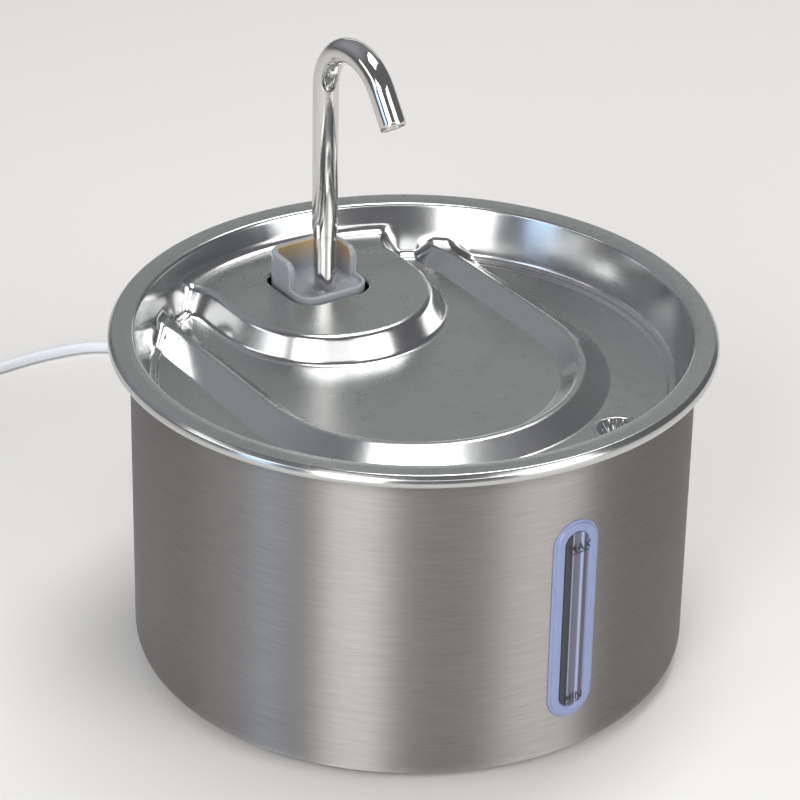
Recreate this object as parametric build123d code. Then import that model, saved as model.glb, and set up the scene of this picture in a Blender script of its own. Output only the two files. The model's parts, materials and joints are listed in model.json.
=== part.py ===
from build123d import *
import math
import os

# Pet water fountain: stainless bowl, pressed lid tray with a gooseneck spout, and a submersible
# pump in a filter case.  Millimetres.  +Z up, the origin on the table under the bowl's centre,
# the spout at the back (+Y) and the water-level window at the front (-Y).

# ---------------------------------------------------------------- driving dimensions
SHEET = 0.7                 # steel sheet of bowl and lid
GAP = 0.3                   # room between rigid pieces that lift apart
FIT = 0.15                  # radial room of a push fit
RUN = 0.05                  # radial running clearance
EPS = 1.0                   # how far a cutting tool passes its face

# bowl
RIM_R = 99.0                # outside of the lid's rolled rim
BOWL_R = RIM_R - 7.2        # outside of the wall
BOWL_CORNER_R = 8.0
BOWL_BEAD_R = 1.1          # rolled bead on the bowl's edge
PAD_R = 7.0
PAD_T = 1.2
PAD_RING_R = 70.0

# lid tray
RIM_TOP = 116.5             # height of the lid above the table
RIM_SHOULDER_R = RIM_R - 1.6  # where the flat flange turns down into the skirt
RIM_SHOULDER_EDGE = 1.0
RIM_LAND_W = 3.5            # flat land inside the shoulder
SKIRT_H = 4.3
SKIRT_BULGE_H = 2.9         # how far down the skirt is widest
SKIRT_TUCK = 0.6            # how far its lower edge turns back in
SKIRT_EDGE_R = 0.9
FLANGE_IN_R = BOWL_R - 1.4  # where the tray's wall turns out into the flange
FLANGE_DIP = 0.3            # how far that corner lies below the rim's top
TRAY_DEPTH = 18.0           # rim's top to the tray's floor
FLOOR_R = FLANGE_IN_R - 4.7
LEDGE_W = 2.0               # narrow ledge round the floor
LEDGE_H = 0.8
WALL_FOOT_R = 1.3           # inner radius of the crease at the wall's foot
WALL_LIP_R = 2.8            # radius where the wall turns out into the flange

# plateau round the spout
PLATEAU_Y = RIM_R - 47.1    # centre of its round front
PLATEAU_TOP_R = 34.5
PLATEAU_FOOT_R = 39.7
PLATEAU_H = 8.6
PLATEAU_EDGE_R = 1.6
PLATEAU_SIDE_Y = RIM_R - 33.0       # where its sides begin to flare to the wall
FLARE_R = 9.0

# U-shaped ridge
RIDGE_R = FLOOR_R - 31.0    # middle of its round front
RIDGE_W = 12.6
RIDGE_TOP_W = 5.4
RIDGE_H = 5.0
RIDGE_EDGE_R = 2.2
RIDGE_END_Y = FLOOR_R - 13.7

# drain
DRAIN_RING_R = FLOOR_R - 11.1
DRAIN_ANGLE = -62.0
DRAIN_R = 7.5
DRAIN_HOLE_R = 3.5
DRAIN_DEPTH = 3.5
DRAIN_FLUTES = 14
FLUTE_R = 0.35              # half-round flutes pressed into the funnel

# spout and its silicone seat
SPOUT_Y = RIM_R - 45.2      # axis of spout, riser pipe and pump outlet
SPOUT_OD = 8.6
SPOUT_WALL = 0.7
SPOUT_FOOT_OD = 7.4         # narrowed end that pushes into the seat
SPOUT_FOOT_Z = 96.4
SPOUT_TAPER_Z = 117.6
SPOUT_TAPER_L = 16.0
SPOUT_BEND_Z = 179.6
SPOUT_BEND_R = 18.3
SPOUT_BEND_ANGLE = 144.0
SPOUT_END_L = 12.2
SEAT_W = 26.6
SEAT_FRONT = SPOUT_Y - 9.0
SEAT_BACK = SPOUT_Y + 17.0
SEAT_CORNER_R = 6.5
SEAT_WALL = 2.3
SEAT_WALL_TOP = 117.6
SEAT_WALL_FRONT = SPOUT_Y + 1.0      # where the side walls end
SEAT_BASE_T = 2.6
SEAT_LIP_W = 1.4
SEAT_LIP_H = 1.3
SEAT_STEM_R = 8.0
SEAT_STEM_Z = 85.6
SEAT_SHELF_Z = 96.1         # shoulder that the spout's foot stands on
SEAT_HOLE_GAP = 1.2

# water-level window
WINDOW_Z = 53.5
WINDOW_W = 16.8
WINDOW_H = 72.0
WINDOW_SLOT_W = 8.7
WINDOW_SLOT_H = 64.0
WINDOW_CUT_W = 13.4
WINDOW_CUT_H = 68.6
SEAL_T = 1.3
SEAL_IN_T = 1.5             # the seal's flange inside the wall
LENS_T = 1.2
LENS_FLANGE_W = 15.0
LENS_FLANGE_H = 70.3
LENS_FLANGE_T = 1.4
LENS_DEPTH = 6.4            # how far the lens reaches inside the wall
LENS_RIBS = 3
LENS_RIB_W = 1.2
LENS_RIB_D = 2.4
CLAMP_T = 1.6
CLAMP_W = 19.0
CLAMP_H = 74.5

# lead and its way out
CORD_D = 4.2
CORD_Z = 89.0
GROMMET_FLANGE_R = 5.6
GROMMET_NECK_R = 4.4
GROMMET_FLANGE_T = 1.3
GROMMET_END_Y = BOWL_R + 6.2
GROMMET_END_R = 3.3
LEAD_Y = SPOUT_Y + 16.0     # where the inner lead leaves the pump
LEAD_BEND_R = 12.6
LEAD_Z0 = 43.4

# filter case
CASE_W = 64.0
CASE_FRONT = SPOUT_Y - 39.8
CASE_BACK = SPOUT_Y + 25.8
CASE_Z0 = 9.0
CASE_Z1 = 54.0
CASE_WALL = 1.6
CASE_FLOOR = 2.0
CASE_CORNER_R = 5.0
COVER_T = 2.0
COVER_SKIRT = 4.0
CUP_X = 22.0
CUP_FRONT_Y = SPOUT_Y - 14.2
CUP_BACK_Y = SPOUT_Y + 14.2
CUP_R = 8.0
CUP_NECK_R = 2.5
CUP_HEAD_R = 4.0
CUP_HEAD_T = 1.4
CUP_HOLLOW_H = 2.6
RISER_R = 6.0
RISER_BORE_R = 4.5
RISER_TOP = 93.6
RISER_SOCKET_Z = 47.0
RISER_SOCKET_R = 7.0
INTAKE_SLOTS = 9
INTAKE_SLOT_W = 2.6
INTAKE_SLOT_PITCH = 5.6

# filter cartridge
CART_W = 53.0
CART_Y0 = CASE_FRONT + 7.0
CART_T = 10.0
CART_TOP = 56.6
CART_WALL = 1.6
CART_BARS = 4
CART_PULL_W = 18.0
CART_PULL_H = 5.0
CART_PULL_T = 3.0
GUIDE_T = 1.4
GUIDE_D = 3.4

# pump
PUMP_W = 34.0
PUMP_H = 34.0
PUMP_Y0 = SPOUT_Y - 5.8
PUMP_MID_Y = PUMP_Y0 + 12.0  # front block to stator shell
PUMP_SHELL_Y = PUMP_Y0 + 26.0
PUMP_Y1 = PUMP_Y0 + 28.0
PUMP_WALL = 2.0
PUMP_EDGE_R = 3.0
SHAFT_Z = 27.0
CHAMBER_R = 13.0
CHAMBER_Y1 = PUMP_Y0 + 10.0
WELL_R = 7.6
WELL_WALL = 1.2
WELL_Y1 = PUMP_Y0 + 24.8
STUB_R = 5.0
STUB_BORE_R = 3.25
STUB_TOP = 52.0
PUMP_COVER_T = 2.0
SPIGOT_L = 2.0
SPIGOT_WALL = 1.3
INTAKE_R = 6.4
HUB_R = 3.0
SPOKE_W = 1.6
SHAFT_R = 1.0
SHAFT_SOCKET = 1.0          # how deep the shaft's ends sit in their bushes
BUSH_R = 2.0
BUSH_L = 2.0
IMPELLER_R = 11.2
IMPELLER_Y0 = PUMP_Y0 + 3.2
IMPELLER_DISC_T = 1.4
IMPELLER_VANES = 6
VANE_T = 1.2
VANE_H = 4.2
ROTOR_R = 7.0
ROTOR_Y0 = PUMP_Y0 + 10.4
ROTOR_Y1 = PUMP_Y0 + 21.2
STATOR_Y0 = PUMP_Y0 + 14.2
STATOR_Y1 = PUMP_Y0 + 21.8
STATOR_R = 13.8
STATOR_RING_T = 2.4
STATOR_TEETH = 4
TOOTH_W = 4.0
COIL_T = 1.8
BOARD_T = 1.2
BOARD_Y0 = PUMP_Y0 + 24.0
SCREW_R = 1.0
SCREW_HEAD_R = 1.9
SCREW_HEAD_T = 1.2
SCREW_L = 7.0
SCREW_INSET = 3.2

# lead behind the bowl, its put-away coil and its plug
CORD_ROUTE = [
    (0.0, GROMMET_END_Y, CORD_Z),
    (0.0, 113.0, CORD_Z),
    (0.5, 127.5, 81.0),
    (1.0, 136.5, 65.5),
    (1.8, 143.5, 47.5),
    (2.8, 152.5, 29.0),
    (4.4, 166.0, 13.5),
    (7.4, 182.0, 3.8),
    (18.4, 199.5, 2.1),
    (20.0, 218.0, 2.1),
    (8.5, 231.2, 2.1),
    (-14.2, 235.0, 2.1),
    (-33.0, 234.2, 2.1),
    (-54.0, 233.4, 2.1),
    (-76.0, 234.1, 2.5),
    (-100.0, 234.1, 2.8),
]
COIL_X = -100.0
COIL_Y = 207.0
COIL_R = 25.0               # middle of all its turns
COIL_COLUMNS = 2
COIL_LAYERS = 4
TAIL_ROUTE = [
    (-127.1, 207.0, 15.4),
    (-127.1, 194.0, 14.6),
    (-127.6, 181.0, 9.0),
    (-128.2, 168.0, 4.9),
    (-128.2, 154.0, 4.2),
]
TIE_W = 6.0
TIE_T = 0.65
TIE_ANGLES = (135, 315)
PLUG_GRIP_L = 24.0
PLUG_GRIP_W = 15.5
PLUG_GRIP_T = 8.4
PLUG_RELIEF_L = 7.0
PLUG_SHELL_L = 12.0
PLUG_SHELL_W = 12.0
PLUG_SHELL_T = 4.5
PLUG_SHELL_WALL = 0.3
PLUG_TONGUE_T = 1.9
PLUG_TONGUE_W = 11.0

# ---------------------------------------------------------------- worked-out sizes
BOWL_IN_R = BOWL_R - SHEET
BOWL_FLOOR = PAD_T + SHEET
TRAY_FLOOR = RIM_TOP - TRAY_DEPTH
PLATEAU_Z = TRAY_FLOOR + PLATEAU_H
BOWL_BEAD_X = BOWL_IN_R + BOWL_BEAD_R
BOWL_BEAD_Z = RIM_TOP - FLANGE_DIP - SHEET - GAP - BOWL_BEAD_R
SEAT_MID_Y = (SEAT_FRONT + SEAT_BACK) / 2
SEAT_TOP = PLATEAU_Z + 0.2
SEAT_BASE_Z = SEAT_TOP - SEAT_BASE_T
CASE_FLOOR_TOP = CASE_Z0 + CASE_FLOOR
PUMP_Z0 = CASE_FLOOR_TOP
PUMP_Z1 = PUMP_Z0 + PUMP_H
CORD_R = CORD_D / 2
SEAL_FACE_R = BOWL_R + SEAL_T
SEAL_BACK_R = BOWL_IN_R - SEAL_IN_T
CART_Y1 = CART_Y0 + CART_T
WINDOW_FRONT = -(SEAL_FACE_R + EPS)
DRAIN_X = DRAIN_RING_R * math.cos(math.radians(DRAIN_ANGLE))
DRAIN_Y = DRAIN_RING_R * math.sin(math.radians(DRAIN_ANGLE))
SLEEVE_R = HUB_R


# ---------------------------------------------------------------- small helpers
def block(x0, x1, y0, y1, z0, z1):
    """A box between two corners."""
    middle = Pos((x0 + x1) / 2, (y0 + y1) / 2, (z0 + z1) / 2)
    return middle * Box(x1 - x0, y1 - y0, z1 - z0)


def post(x, y, z0, z1, radius):
    """An upright cylinder."""
    return Pos(x, y, (z0 + z1) / 2) * Cylinder(radius, z1 - z0)


def spindle(x, z, y0, y1, radius):
    """A cylinder that lies along Y."""
    return Pos(x, (y0 + y1) / 2, z) * Rot(90, 0, 0) * Cylinder(radius, y1 - y0)


def tube(x, y, z0, z1, outer, inner):
    """An upright pipe."""
    return post(x, y, z0, z1, outer) - post(x, y, z0 - EPS, z1 + EPS, inner)


def section(points, rounded=None, radius=0):
    """A face in the XZ plane from (r, z) points; the corners named in rounded get a radius."""
    face = make_face(Polyline(*points, close=True))
    if rounded:
        corners = [v for v in face.vertices() if any(near(v, points[i]) for i in rounded)]
        face = fillet(corners, radius)
    return Plane.XZ * face


def near(vertex, point):
    """Whether a vertex of a flat face lies on a point."""
    return math.hypot(vertex.X - point[0], vertex.Y - point[1]) < 1e-4


def turned(face):
    """A face in the XZ plane turned once round the Z axis."""
    return revolve(face, Axis.Z, 360)


def save(shape, node):
    """Write one node's STEP file."""
    shape.label = node
    export_step(shape, f"parts/{node}.step")


# ---------------------------------------------------------------- bowl
def stadium(width, height, y0, y1):
    """An upright round-ended bar on the window's centre, running from y0 to y1."""
    outline = SlotOverall(height, width, rotation=90)
    return Pos(0, y1, WINDOW_Z) * extrude(Plane.XZ * outline, y1 - y0)


def make_bowl():
    """Deep bowl: round sheet shell with a rolled bead, pierced for the window and the lead."""
    outer_corner = BOWL_CORNER_R
    inner_corner = BOWL_CORNER_R - SHEET
    outer = section(
        [(0, PAD_T), (BOWL_R, PAD_T), (BOWL_R, BOWL_BEAD_Z), (0, BOWL_BEAD_Z)], [1], outer_corner
    )
    inner = section(
        [(0, BOWL_FLOOR), (BOWL_IN_R, BOWL_FLOOR), (BOWL_IN_R, BOWL_BEAD_Z + EPS),
         (0, BOWL_BEAD_Z + EPS)], [1], inner_corner
    )
    bead = Pos(0, 0, BOWL_BEAD_Z) * Torus(BOWL_BEAD_X, BOWL_BEAD_R)
    shell = turned(outer) - turned(inner) + bead
    shell -= stadium(WINDOW_CUT_W, WINDOW_CUT_H, -BOWL_R - EPS, -BOWL_IN_R / 2)
    shell -= spindle(0, CORD_Z, BOWL_IN_R - 2 * EPS, BOWL_R + EPS, GROMMET_NECK_R)
    return shell


def make_foot_pads():
    """Four thin pads under the bowl."""
    pad = Pos(PAD_RING_R, 0, PAD_T / 2) * Cylinder(PAD_R, PAD_T)
    return Compound([Rot(0, 0, 45 + 90 * i) * pad for i in range(4)])


# ---------------------------------------------------------------- lid tray
def tray_body(inset, outer_r):
    """Everything under the tray's surface, with that surface sunk by inset along its normal."""
    floor = TRAY_FLOOR - inset
    wall = inset
    corner = (FLANGE_IN_R + wall, RIM_TOP - FLANGE_DIP - inset)
    crown = RIM_TOP - inset
    low = TRAY_FLOOR - 4 * RIDGE_H
    points = [
        (0, floor),
        (FLOOR_R - LEDGE_W, floor),
        (FLOOR_R - LEDGE_W + LEDGE_H, floor + LEDGE_H),
        (FLOOR_R + wall, floor + LEDGE_H),
        corner,
        (corner[0] + WALL_LIP_R, crown),
        (outer_r, crown),
        (outer_r, low),
        (0, low),
    ]
    face = make_face(Polyline(*points, close=True))
    foot = [v for v in face.vertices() if near(v, points[3])]
    face = fillet(foot, WALL_FOOT_R + inset)
    lip = [v for v in face.vertices() if near(v, corner)]
    face = fillet(lip, WALL_LIP_R - inset)
    return turned(Plane.XZ * face)


def plateau_outline(radius, z):
    """Plan of the plateau: a round front, straight sides and flares that meet the wall."""
    half = radius
    side = PLATEAU_SIDE_Y
    out = BOWL_R * 0.97
    with BuildSketch(Plane.XY.offset(z)) as plan:
        with BuildLine():
            front = CenterArc((0, PLATEAU_Y), half, 180, 180)
            Line((half, PLATEAU_Y), (half, side))
            right = RadiusArc((half, side), (half + FLARE_R, side + FLARE_R), FLARE_R)
            Line((half + FLARE_R, side + FLARE_R), (half + FLARE_R, out))
            Line((half + FLARE_R, out), (-half - FLARE_R, out))
            Line((-half - FLARE_R, out), (-half - FLARE_R, side + FLARE_R))
            left = RadiusArc((-half - FLARE_R, side + FLARE_R), (-half, side), FLARE_R)
            Line((-half, side), (-half, PLATEAU_Y))
        make_face()
    return plan.sketch


def make_plateau(inset):
    """Solid under the plateau, cut to the inside of the bowl's wall."""
    foot = plateau_outline(PLATEAU_FOOT_R - inset, TRAY_FLOOR - SHEET - EPS)
    top = plateau_outline(PLATEAU_TOP_R - inset, PLATEAU_Z - inset)
    body = loft([foot, top], ruled=True)
    edge = body.faces().sort_by(Axis.Z)[-1].edges()
    body = fillet(edge, PLATEAU_EDGE_R - inset / 2)
    return body & post(0, 0, 0, RIM_TOP, FLANGE_IN_R)


def make_ridge(inset):
    """Solid under the U-shaped ridge, open end towards the spout."""
    half = RIDGE_W / 2 - inset / 2
    top_half = RIDGE_TOP_W / 2 - inset / 2
    low = -SHEET - EPS
    top = RIDGE_H - inset
    points = [(-half, low), (half, low), (half, 0), (top_half, top), (-top_half, top), (-half, 0)]
    profile = make_face(Polyline(*points, close=True))
    crown = [v for v in profile.vertices() if near(v, points[3]) or near(v, points[4])]
    profile = fillet(crown, RIDGE_EDGE_R - inset / 2)
    seat = Plane(origin=(RIDGE_R, 0, TRAY_FLOOR), x_dir=(1, 0, 0), z_dir=(0, -1, 0))
    bend = revolve(seat * profile, Axis.Z, -180)
    legs = extrude(seat * profile, -RIDGE_END_Y)
    ridge = bend + legs + mirror(legs, Plane.YZ)
    return ridge & post(0, 0, 0, RIM_TOP, FLANGE_IN_R)


def drain_dish(inset):
    """Funnel that is pressed down into the floor."""
    slope = Cone(DRAIN_HOLE_R + inset, DRAIN_R + inset, DRAIN_DEPTH)
    mouth = post(DRAIN_X, DRAIN_Y, TRAY_FLOOR - inset, TRAY_FLOOR + EPS, DRAIN_R + inset)
    return Pos(DRAIN_X, DRAIN_Y, TRAY_FLOOR - inset - DRAIN_DEPTH / 2) * slope + mouth


def make_rim():
    """Rolled rim: flat flange, shoulder, a skirt that bulges outwards and a turned-in edge."""
    inner_r = RIM_SHOULDER_R - RIM_LAND_W
    low = RIM_TOP - SKIRT_H
    outline = make_face(Polyline(
        (inner_r, RIM_TOP), (RIM_SHOULDER_R, RIM_TOP), (RIM_R, RIM_TOP - SKIRT_BULGE_H),
        (RIM_R - SKIRT_TUCK, low), (inner_r, low), close=True,
    ))
    sizes = ((RIM_SHOULDER_R, RIM_TOP, RIM_SHOULDER_EDGE), (RIM_R - SKIRT_TUCK, low, SKIRT_EDGE_R))
    for r, z, radius in sizes:
        outline = fillet([v for v in outline.vertices() if near(v, (r, z))], radius)
    hollow = offset(outline, -SHEET)
    hollow += Pos(inner_r, (RIM_TOP + low) / 2 - SHEET) * Rectangle(3 * SHEET, SKIRT_H)
    return turned(Plane.XZ * (outline - hollow))


def drain_flutes():
    """Slim rods laid down the funnel's slope; they leave half-round flutes in it."""
    slope = math.atan2(DRAIN_DEPTH, DRAIN_R - DRAIN_HOLE_R)
    middle = (DRAIN_R + DRAIN_HOLE_R) / 2
    length = (DRAIN_R - DRAIN_HOLE_R) / math.cos(slope)
    rod = Cylinder(FLUTE_R, length)
    rod = Pos(middle, 0, -DRAIN_DEPTH / 2) * Rot(0, 90 - math.degrees(slope), 0) * rod
    place = Pos(DRAIN_X, DRAIN_Y, TRAY_FLOOR)
    return [place * Rot(0, 0, 360 * i / DRAIN_FLUTES) * rod for i in range(DRAIN_FLUTES)]


def make_lid_tray():
    """Pressed sheet: the solid under its upper surface less the solid under its lower one."""
    upper = tray_body(0, RIM_SHOULDER_R - RIM_SHOULDER_EDGE) + make_plateau(0) + make_ridge(0)
    upper -= drain_dish(0)
    lower = tray_body(SHEET, RIM_R + EPS) + make_plateau(SHEET) + make_ridge(SHEET)
    lower -= drain_dish(SHEET)
    sheet = upper - lower + make_rim()
    for rod in drain_flutes():
        sheet -= rod
    hole = seat_outline(SEAT_HOLE_GAP)
    sheet -= Pos(0, 0, TRAY_FLOOR - RIDGE_H) * extrude(hole, 4 * RIDGE_H)
    sheet -= post(DRAIN_X, DRAIN_Y, TRAY_FLOOR - 3 * DRAIN_DEPTH, TRAY_FLOOR, DRAIN_HOLE_R)
    return sheet


# ---------------------------------------------------------------- spout and seat
def seat_outline(grow):
    """Plan of the silicone seat, a rounded square, grown outwards by grow."""
    width = SEAT_W + 2 * grow
    length = SEAT_BACK - SEAT_FRONT + 2 * grow
    return Pos(0, SEAT_MID_Y) * RectangleRounded(width, length, SEAT_CORNER_R + grow)


def make_spout_seat():
    """Silicone seat: lipped tray, C-shaped wall and a stem that grips the riser pipe."""
    base = Pos(0, 0, SEAT_BASE_Z) * extrude(seat_outline(0), SEAT_BASE_T)
    lip = seat_outline(0) - seat_outline(-SEAT_LIP_W)
    lip = Pos(0, 0, SEAT_TOP) * extrude(lip, SEAT_LIP_H)
    wall = seat_outline(0) - seat_outline(-SEAT_WALL)
    wall = Pos(0, 0, SEAT_TOP) * extrude(wall, SEAT_WALL_TOP - SEAT_TOP)
    wall -= block(-SEAT_W, SEAT_W, SEAT_FRONT - EPS, SEAT_WALL_FRONT, SEAT_TOP, RIM_TOP)
    stem = post(0, SPOUT_Y, SEAT_STEM_Z, SEAT_BASE_Z, SEAT_STEM_R)
    seat = base + lip + wall + stem
    seat -= post(0, SPOUT_Y, SEAT_STEM_Z - EPS, RISER_TOP + GAP, RISER_R + RUN)
    seat -= post(0, SPOUT_Y, SEAT_SHELF_Z, SEAT_TOP + EPS, SPOUT_FOOT_OD / 2 + RUN)
    seat -= post(0, SPOUT_Y, SEAT_STEM_Z, SEAT_TOP, SPOUT_FOOT_OD / 2 - SPOUT_WALL)
    return seat


def spout_path():
    """Middle line of the bend and the straight end, in the YZ plane."""
    turn = math.radians(SPOUT_BEND_ANGLE)
    centre = SPOUT_Y - SPOUT_BEND_R
    end = Vector(
        0,
        centre + SPOUT_BEND_R * math.cos(turn),
        SPOUT_BEND_Z + SPOUT_BEND_R * math.sin(turn),
    )
    heading = Vector(0, -math.sin(turn), math.cos(turn))
    return end, heading


def make_spout_tube():
    """Gooseneck: straight leg with a narrowed foot, one bend, and a square-cut end."""
    end, heading = spout_path()
    taper_top = SPOUT_TAPER_Z + SPOUT_TAPER_L

    def solid(shrink):
        foot_r = SPOUT_FOOT_OD / 2 - shrink
        leg_r = SPOUT_OD / 2 - shrink
        foot = post(0, SPOUT_Y, SPOUT_FOOT_Z, SPOUT_TAPER_Z, foot_r)
        taper = Pos(0, SPOUT_Y, SPOUT_TAPER_Z + SPOUT_TAPER_L / 2)
        taper *= Cone(foot_r, leg_r, SPOUT_TAPER_L)
        leg = post(0, SPOUT_Y, taper_top, SPOUT_BEND_Z, leg_r)
        ring = Plane(origin=(0, SPOUT_Y, SPOUT_BEND_Z), z_dir=(0, 0, 1)) * Circle(leg_r)
        centre = Axis((0, SPOUT_Y - SPOUT_BEND_R, SPOUT_BEND_Z), (1, 0, 0))
        bend = revolve(ring, centre, SPOUT_BEND_ANGLE)
        last = Plane(origin=end, z_dir=heading) * Circle(leg_r)
        return foot + taper + leg + bend + extrude(last, SPOUT_END_L)

    return solid(0) - solid(SPOUT_WALL)


# ---------------------------------------------------------------- water-level window
def wall_ring(r0, r1):
    """Part of a round shell between two radii, as tall as the bowl."""
    return post(0, 0, 0, RIM_TOP, r1) - post(0, 0, -EPS, RIM_TOP + EPS, r0)


def make_window_seal():
    """Silicone frame: a flange on each side of the wall and a neck through it."""
    slot = stadium(WINDOW_SLOT_W, WINDOW_SLOT_H, WINDOW_FRONT, -BOWL_R / 2)
    outer = stadium(WINDOW_W, WINDOW_H, WINDOW_FRONT, -BOWL_R / 2) & wall_ring(BOWL_R, SEAL_FACE_R)
    face_edges = [e for e in outer.edges() if (e @ 0.5).Y < -BOWL_R - SEAL_T * 0.6]
    outer = fillet(face_edges, SEAL_T * 0.45)
    neck = stadium(WINDOW_CUT_W, WINDOW_CUT_H, WINDOW_FRONT, -BOWL_R / 2) & wall_ring(BOWL_IN_R, BOWL_R)
    inner = stadium(WINDOW_W, WINDOW_H, WINDOW_FRONT, -BOWL_R / 2) & wall_ring(SEAL_BACK_R, BOWL_IN_R)
    return outer + neck + inner - slot


def make_window_lens():
    """Clear bar in the seal's slot, with a flange behind the seal and upright ribs inside."""
    front = wall_ring(BOWL_IN_R - LENS_DEPTH, SEAL_FACE_R - GAP)
    bar = stadium(WINDOW_SLOT_W, WINDOW_SLOT_H, WINDOW_FRONT, -BOWL_R / 2) & front
    flange = stadium(LENS_FLANGE_W, LENS_FLANGE_H, WINDOW_FRONT, -BOWL_R / 2)
    flange &= wall_ring(SEAL_BACK_R - LENS_FLANGE_T, SEAL_BACK_R)
    lens = bar + flange
    pitch = WINDOW_SLOT_W / LENS_RIBS
    back = -(BOWL_IN_R - LENS_DEPTH)
    for i in range(LENS_RIBS):
        x = (i - (LENS_RIBS - 1) / 2) * pitch
        half = (pitch - LENS_RIB_W) / 2
        groove = block(x - half, x + half, back - LENS_RIB_D, back + 2 * EPS,
                       WINDOW_Z - WINDOW_SLOT_H / 2 + 4, WINDOW_Z + WINDOW_SLOT_H / 2 - 4)
        lens -= groove
    return lens


def make_window_clamp():
    """Frame pushed over the lens from inside; it presses the flange against the seal."""
    face = SEAL_BACK_R - LENS_FLANGE_T
    frame = stadium(CLAMP_W, CLAMP_H, WINDOW_FRONT, -BOWL_R / 2) & wall_ring(face - CLAMP_T, face)
    hole = stadium(WINDOW_SLOT_W + 2 * RUN, WINDOW_SLOT_H + 2 * RUN, WINDOW_FRONT, -BOWL_R / 2)
    return frame - hole


# ---------------------------------------------------------------- lead, coil and plug
def cord_tube(points):
    """Tube along straight runs joined by tangent arcs."""
    radii = []
    for a, b, c in zip(points, points[1:], points[2:]):
        before = Vector(b) - Vector(a)
        after = Vector(c) - Vector(b)
        half = math.radians(before.get_angle(after)) / 2
        radii.append(0.45 * min(before.length, after.length) / math.tan(half))
    path = FilletPolyline(*points, radius=radii)
    print("arc radii", [round(r, 1) for r in radii], "length", round(path.length, 1))
    start = Plane(origin=path @ 0, z_dir=path % 0)
    return sweep(start * Circle(CORD_R), path)


def make_cord_grommet():
    """Rubber grommet in the bowl's wall, drawn out to a taper along the lead."""
    y0 = BOWL_IN_R - GROMMET_FLANGE_T
    y1 = BOWL_R + GROMMET_FLANGE_T
    body = spindle(0, CORD_Z, y0, y1, GROMMET_FLANGE_R)
    taper = Cone(GROMMET_NECK_R, GROMMET_END_R, GROMMET_END_Y - y1)
    body += Pos(0, (y1 + GROMMET_END_Y) / 2, CORD_Z) * Rot(-90, 0, 0) * taper
    body -= wall_ring(BOWL_IN_R, BOWL_R) - spindle(0, CORD_Z, 0, RIM_R, GROMMET_NECK_R - RUN)
    return body - spindle(0, CORD_Z, y0 - EPS, RIM_R, CORD_R)


def make_pump_lead():
    """Inner lead: up from the pump, one wide bend, out through the grommet."""
    bend_z = CORD_Z - LEAD_BEND_R
    ring = Plane(origin=(0, LEAD_Y, bend_z), z_dir=(0, 0, 1)) * Circle(CORD_R)
    bend = revolve(ring, Axis((0, LEAD_Y + LEAD_BEND_R, bend_z), (-1, 0, 0)), 90)
    rise = post(0, LEAD_Y, LEAD_Z0, bend_z, CORD_R)
    out = spindle(0, CORD_Z, LEAD_Y + LEAD_BEND_R, GROMMET_END_Y, CORD_R)
    return rise + bend + out


def make_cord_coil():
    """Outer shape of the put-away coil, a ring that stands on its two ties."""
    width = COIL_COLUMNS * CORD_D
    height = COIL_LAYERS * CORD_D
    profile = Pos(COIL_R, TIE_T + height / 2) * RectangleRounded(width, height, CORD_R * 0.98)
    return Pos(COIL_X, COIL_Y, 0) * turned(Plane.XZ * profile)


def make_cord_ties():
    """Two flat straps round the coil."""
    width = COIL_COLUMNS * CORD_D + 2 * GAP
    height = COIL_LAYERS * CORD_D
    strap = Box(width + 2 * TIE_T, TIE_W, height + 2 * TIE_T)
    strap = fillet(strap.edges().filter_by(Axis.Y), 1.2)
    strap -= Box(width, TIE_W + EPS, height)
    strap = Pos(COIL_R, 0, TIE_T + height / 2) * strap
    return Compound([Pos(COIL_X, COIL_Y, 0) * Rot(0, 0, a) * strap for a in TIE_ANGLES])


def plug_place():
    """Where the lead enters the plug: x, y and the height of its middle."""
    return TAIL_ROUTE[-1]


def make_usb_plug_grip():
    """Moulded grip with a tapered relief round the lead."""
    x, y, z = plug_place()
    grip = Box(PLUG_GRIP_W, PLUG_GRIP_L, PLUG_GRIP_T)
    grip = fillet(grip.edges().filter_by(Axis.Y), 2.2)
    grip = fillet(grip.faces().sort_by(Axis.Y)[-1].edges(), 1.2)
    grip = Pos(x, y - PLUG_RELIEF_L - PLUG_GRIP_L / 2, z) * grip
    relief = Rot(-90, 0, 0) * Cone(PLUG_GRIP_T / 2 - 0.6, CORD_R + 0.6, PLUG_RELIEF_L + EPS)
    grip += Pos(x, y - (PLUG_RELIEF_L + EPS) / 2, z) * relief
    grip -= spindle(x, z, y - PLUG_RELIEF_L, y + EPS, CORD_R)
    front = y - PLUG_RELIEF_L - PLUG_GRIP_L
    half_w = PLUG_SHELL_W / 2
    half_t = PLUG_SHELL_T / 2
    return grip - block(x - half_w, x + half_w, front - EPS, front + 4, z - half_t, z + half_t)


def make_usb_plug_shell():
    """Folded metal shell of a USB-A plug with its two square windows on each face."""
    x, y, z = plug_place()
    y1 = y - PLUG_RELIEF_L - PLUG_GRIP_L + 4
    y0 = y1 - PLUG_SHELL_L - 4
    shell = Box(PLUG_SHELL_W, y1 - y0, PLUG_SHELL_T)
    shell = fillet(shell.edges().filter_by(Axis.Y), 0.5)
    wall = 2 * PLUG_SHELL_WALL
    shell -= Box(PLUG_SHELL_W - wall, y1 - y0 + EPS, PLUG_SHELL_T - wall)
    shell = Pos(x, (y0 + y1) / 2, z) * shell
    for side in (-1, 1):
        cx = x + side * 2.8
        shell -= block(cx - 1.25, cx + 1.25, y0 + 5.2, y0 + 7.5, z - PLUG_SHELL_T, z + PLUG_SHELL_T)
    return shell


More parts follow.
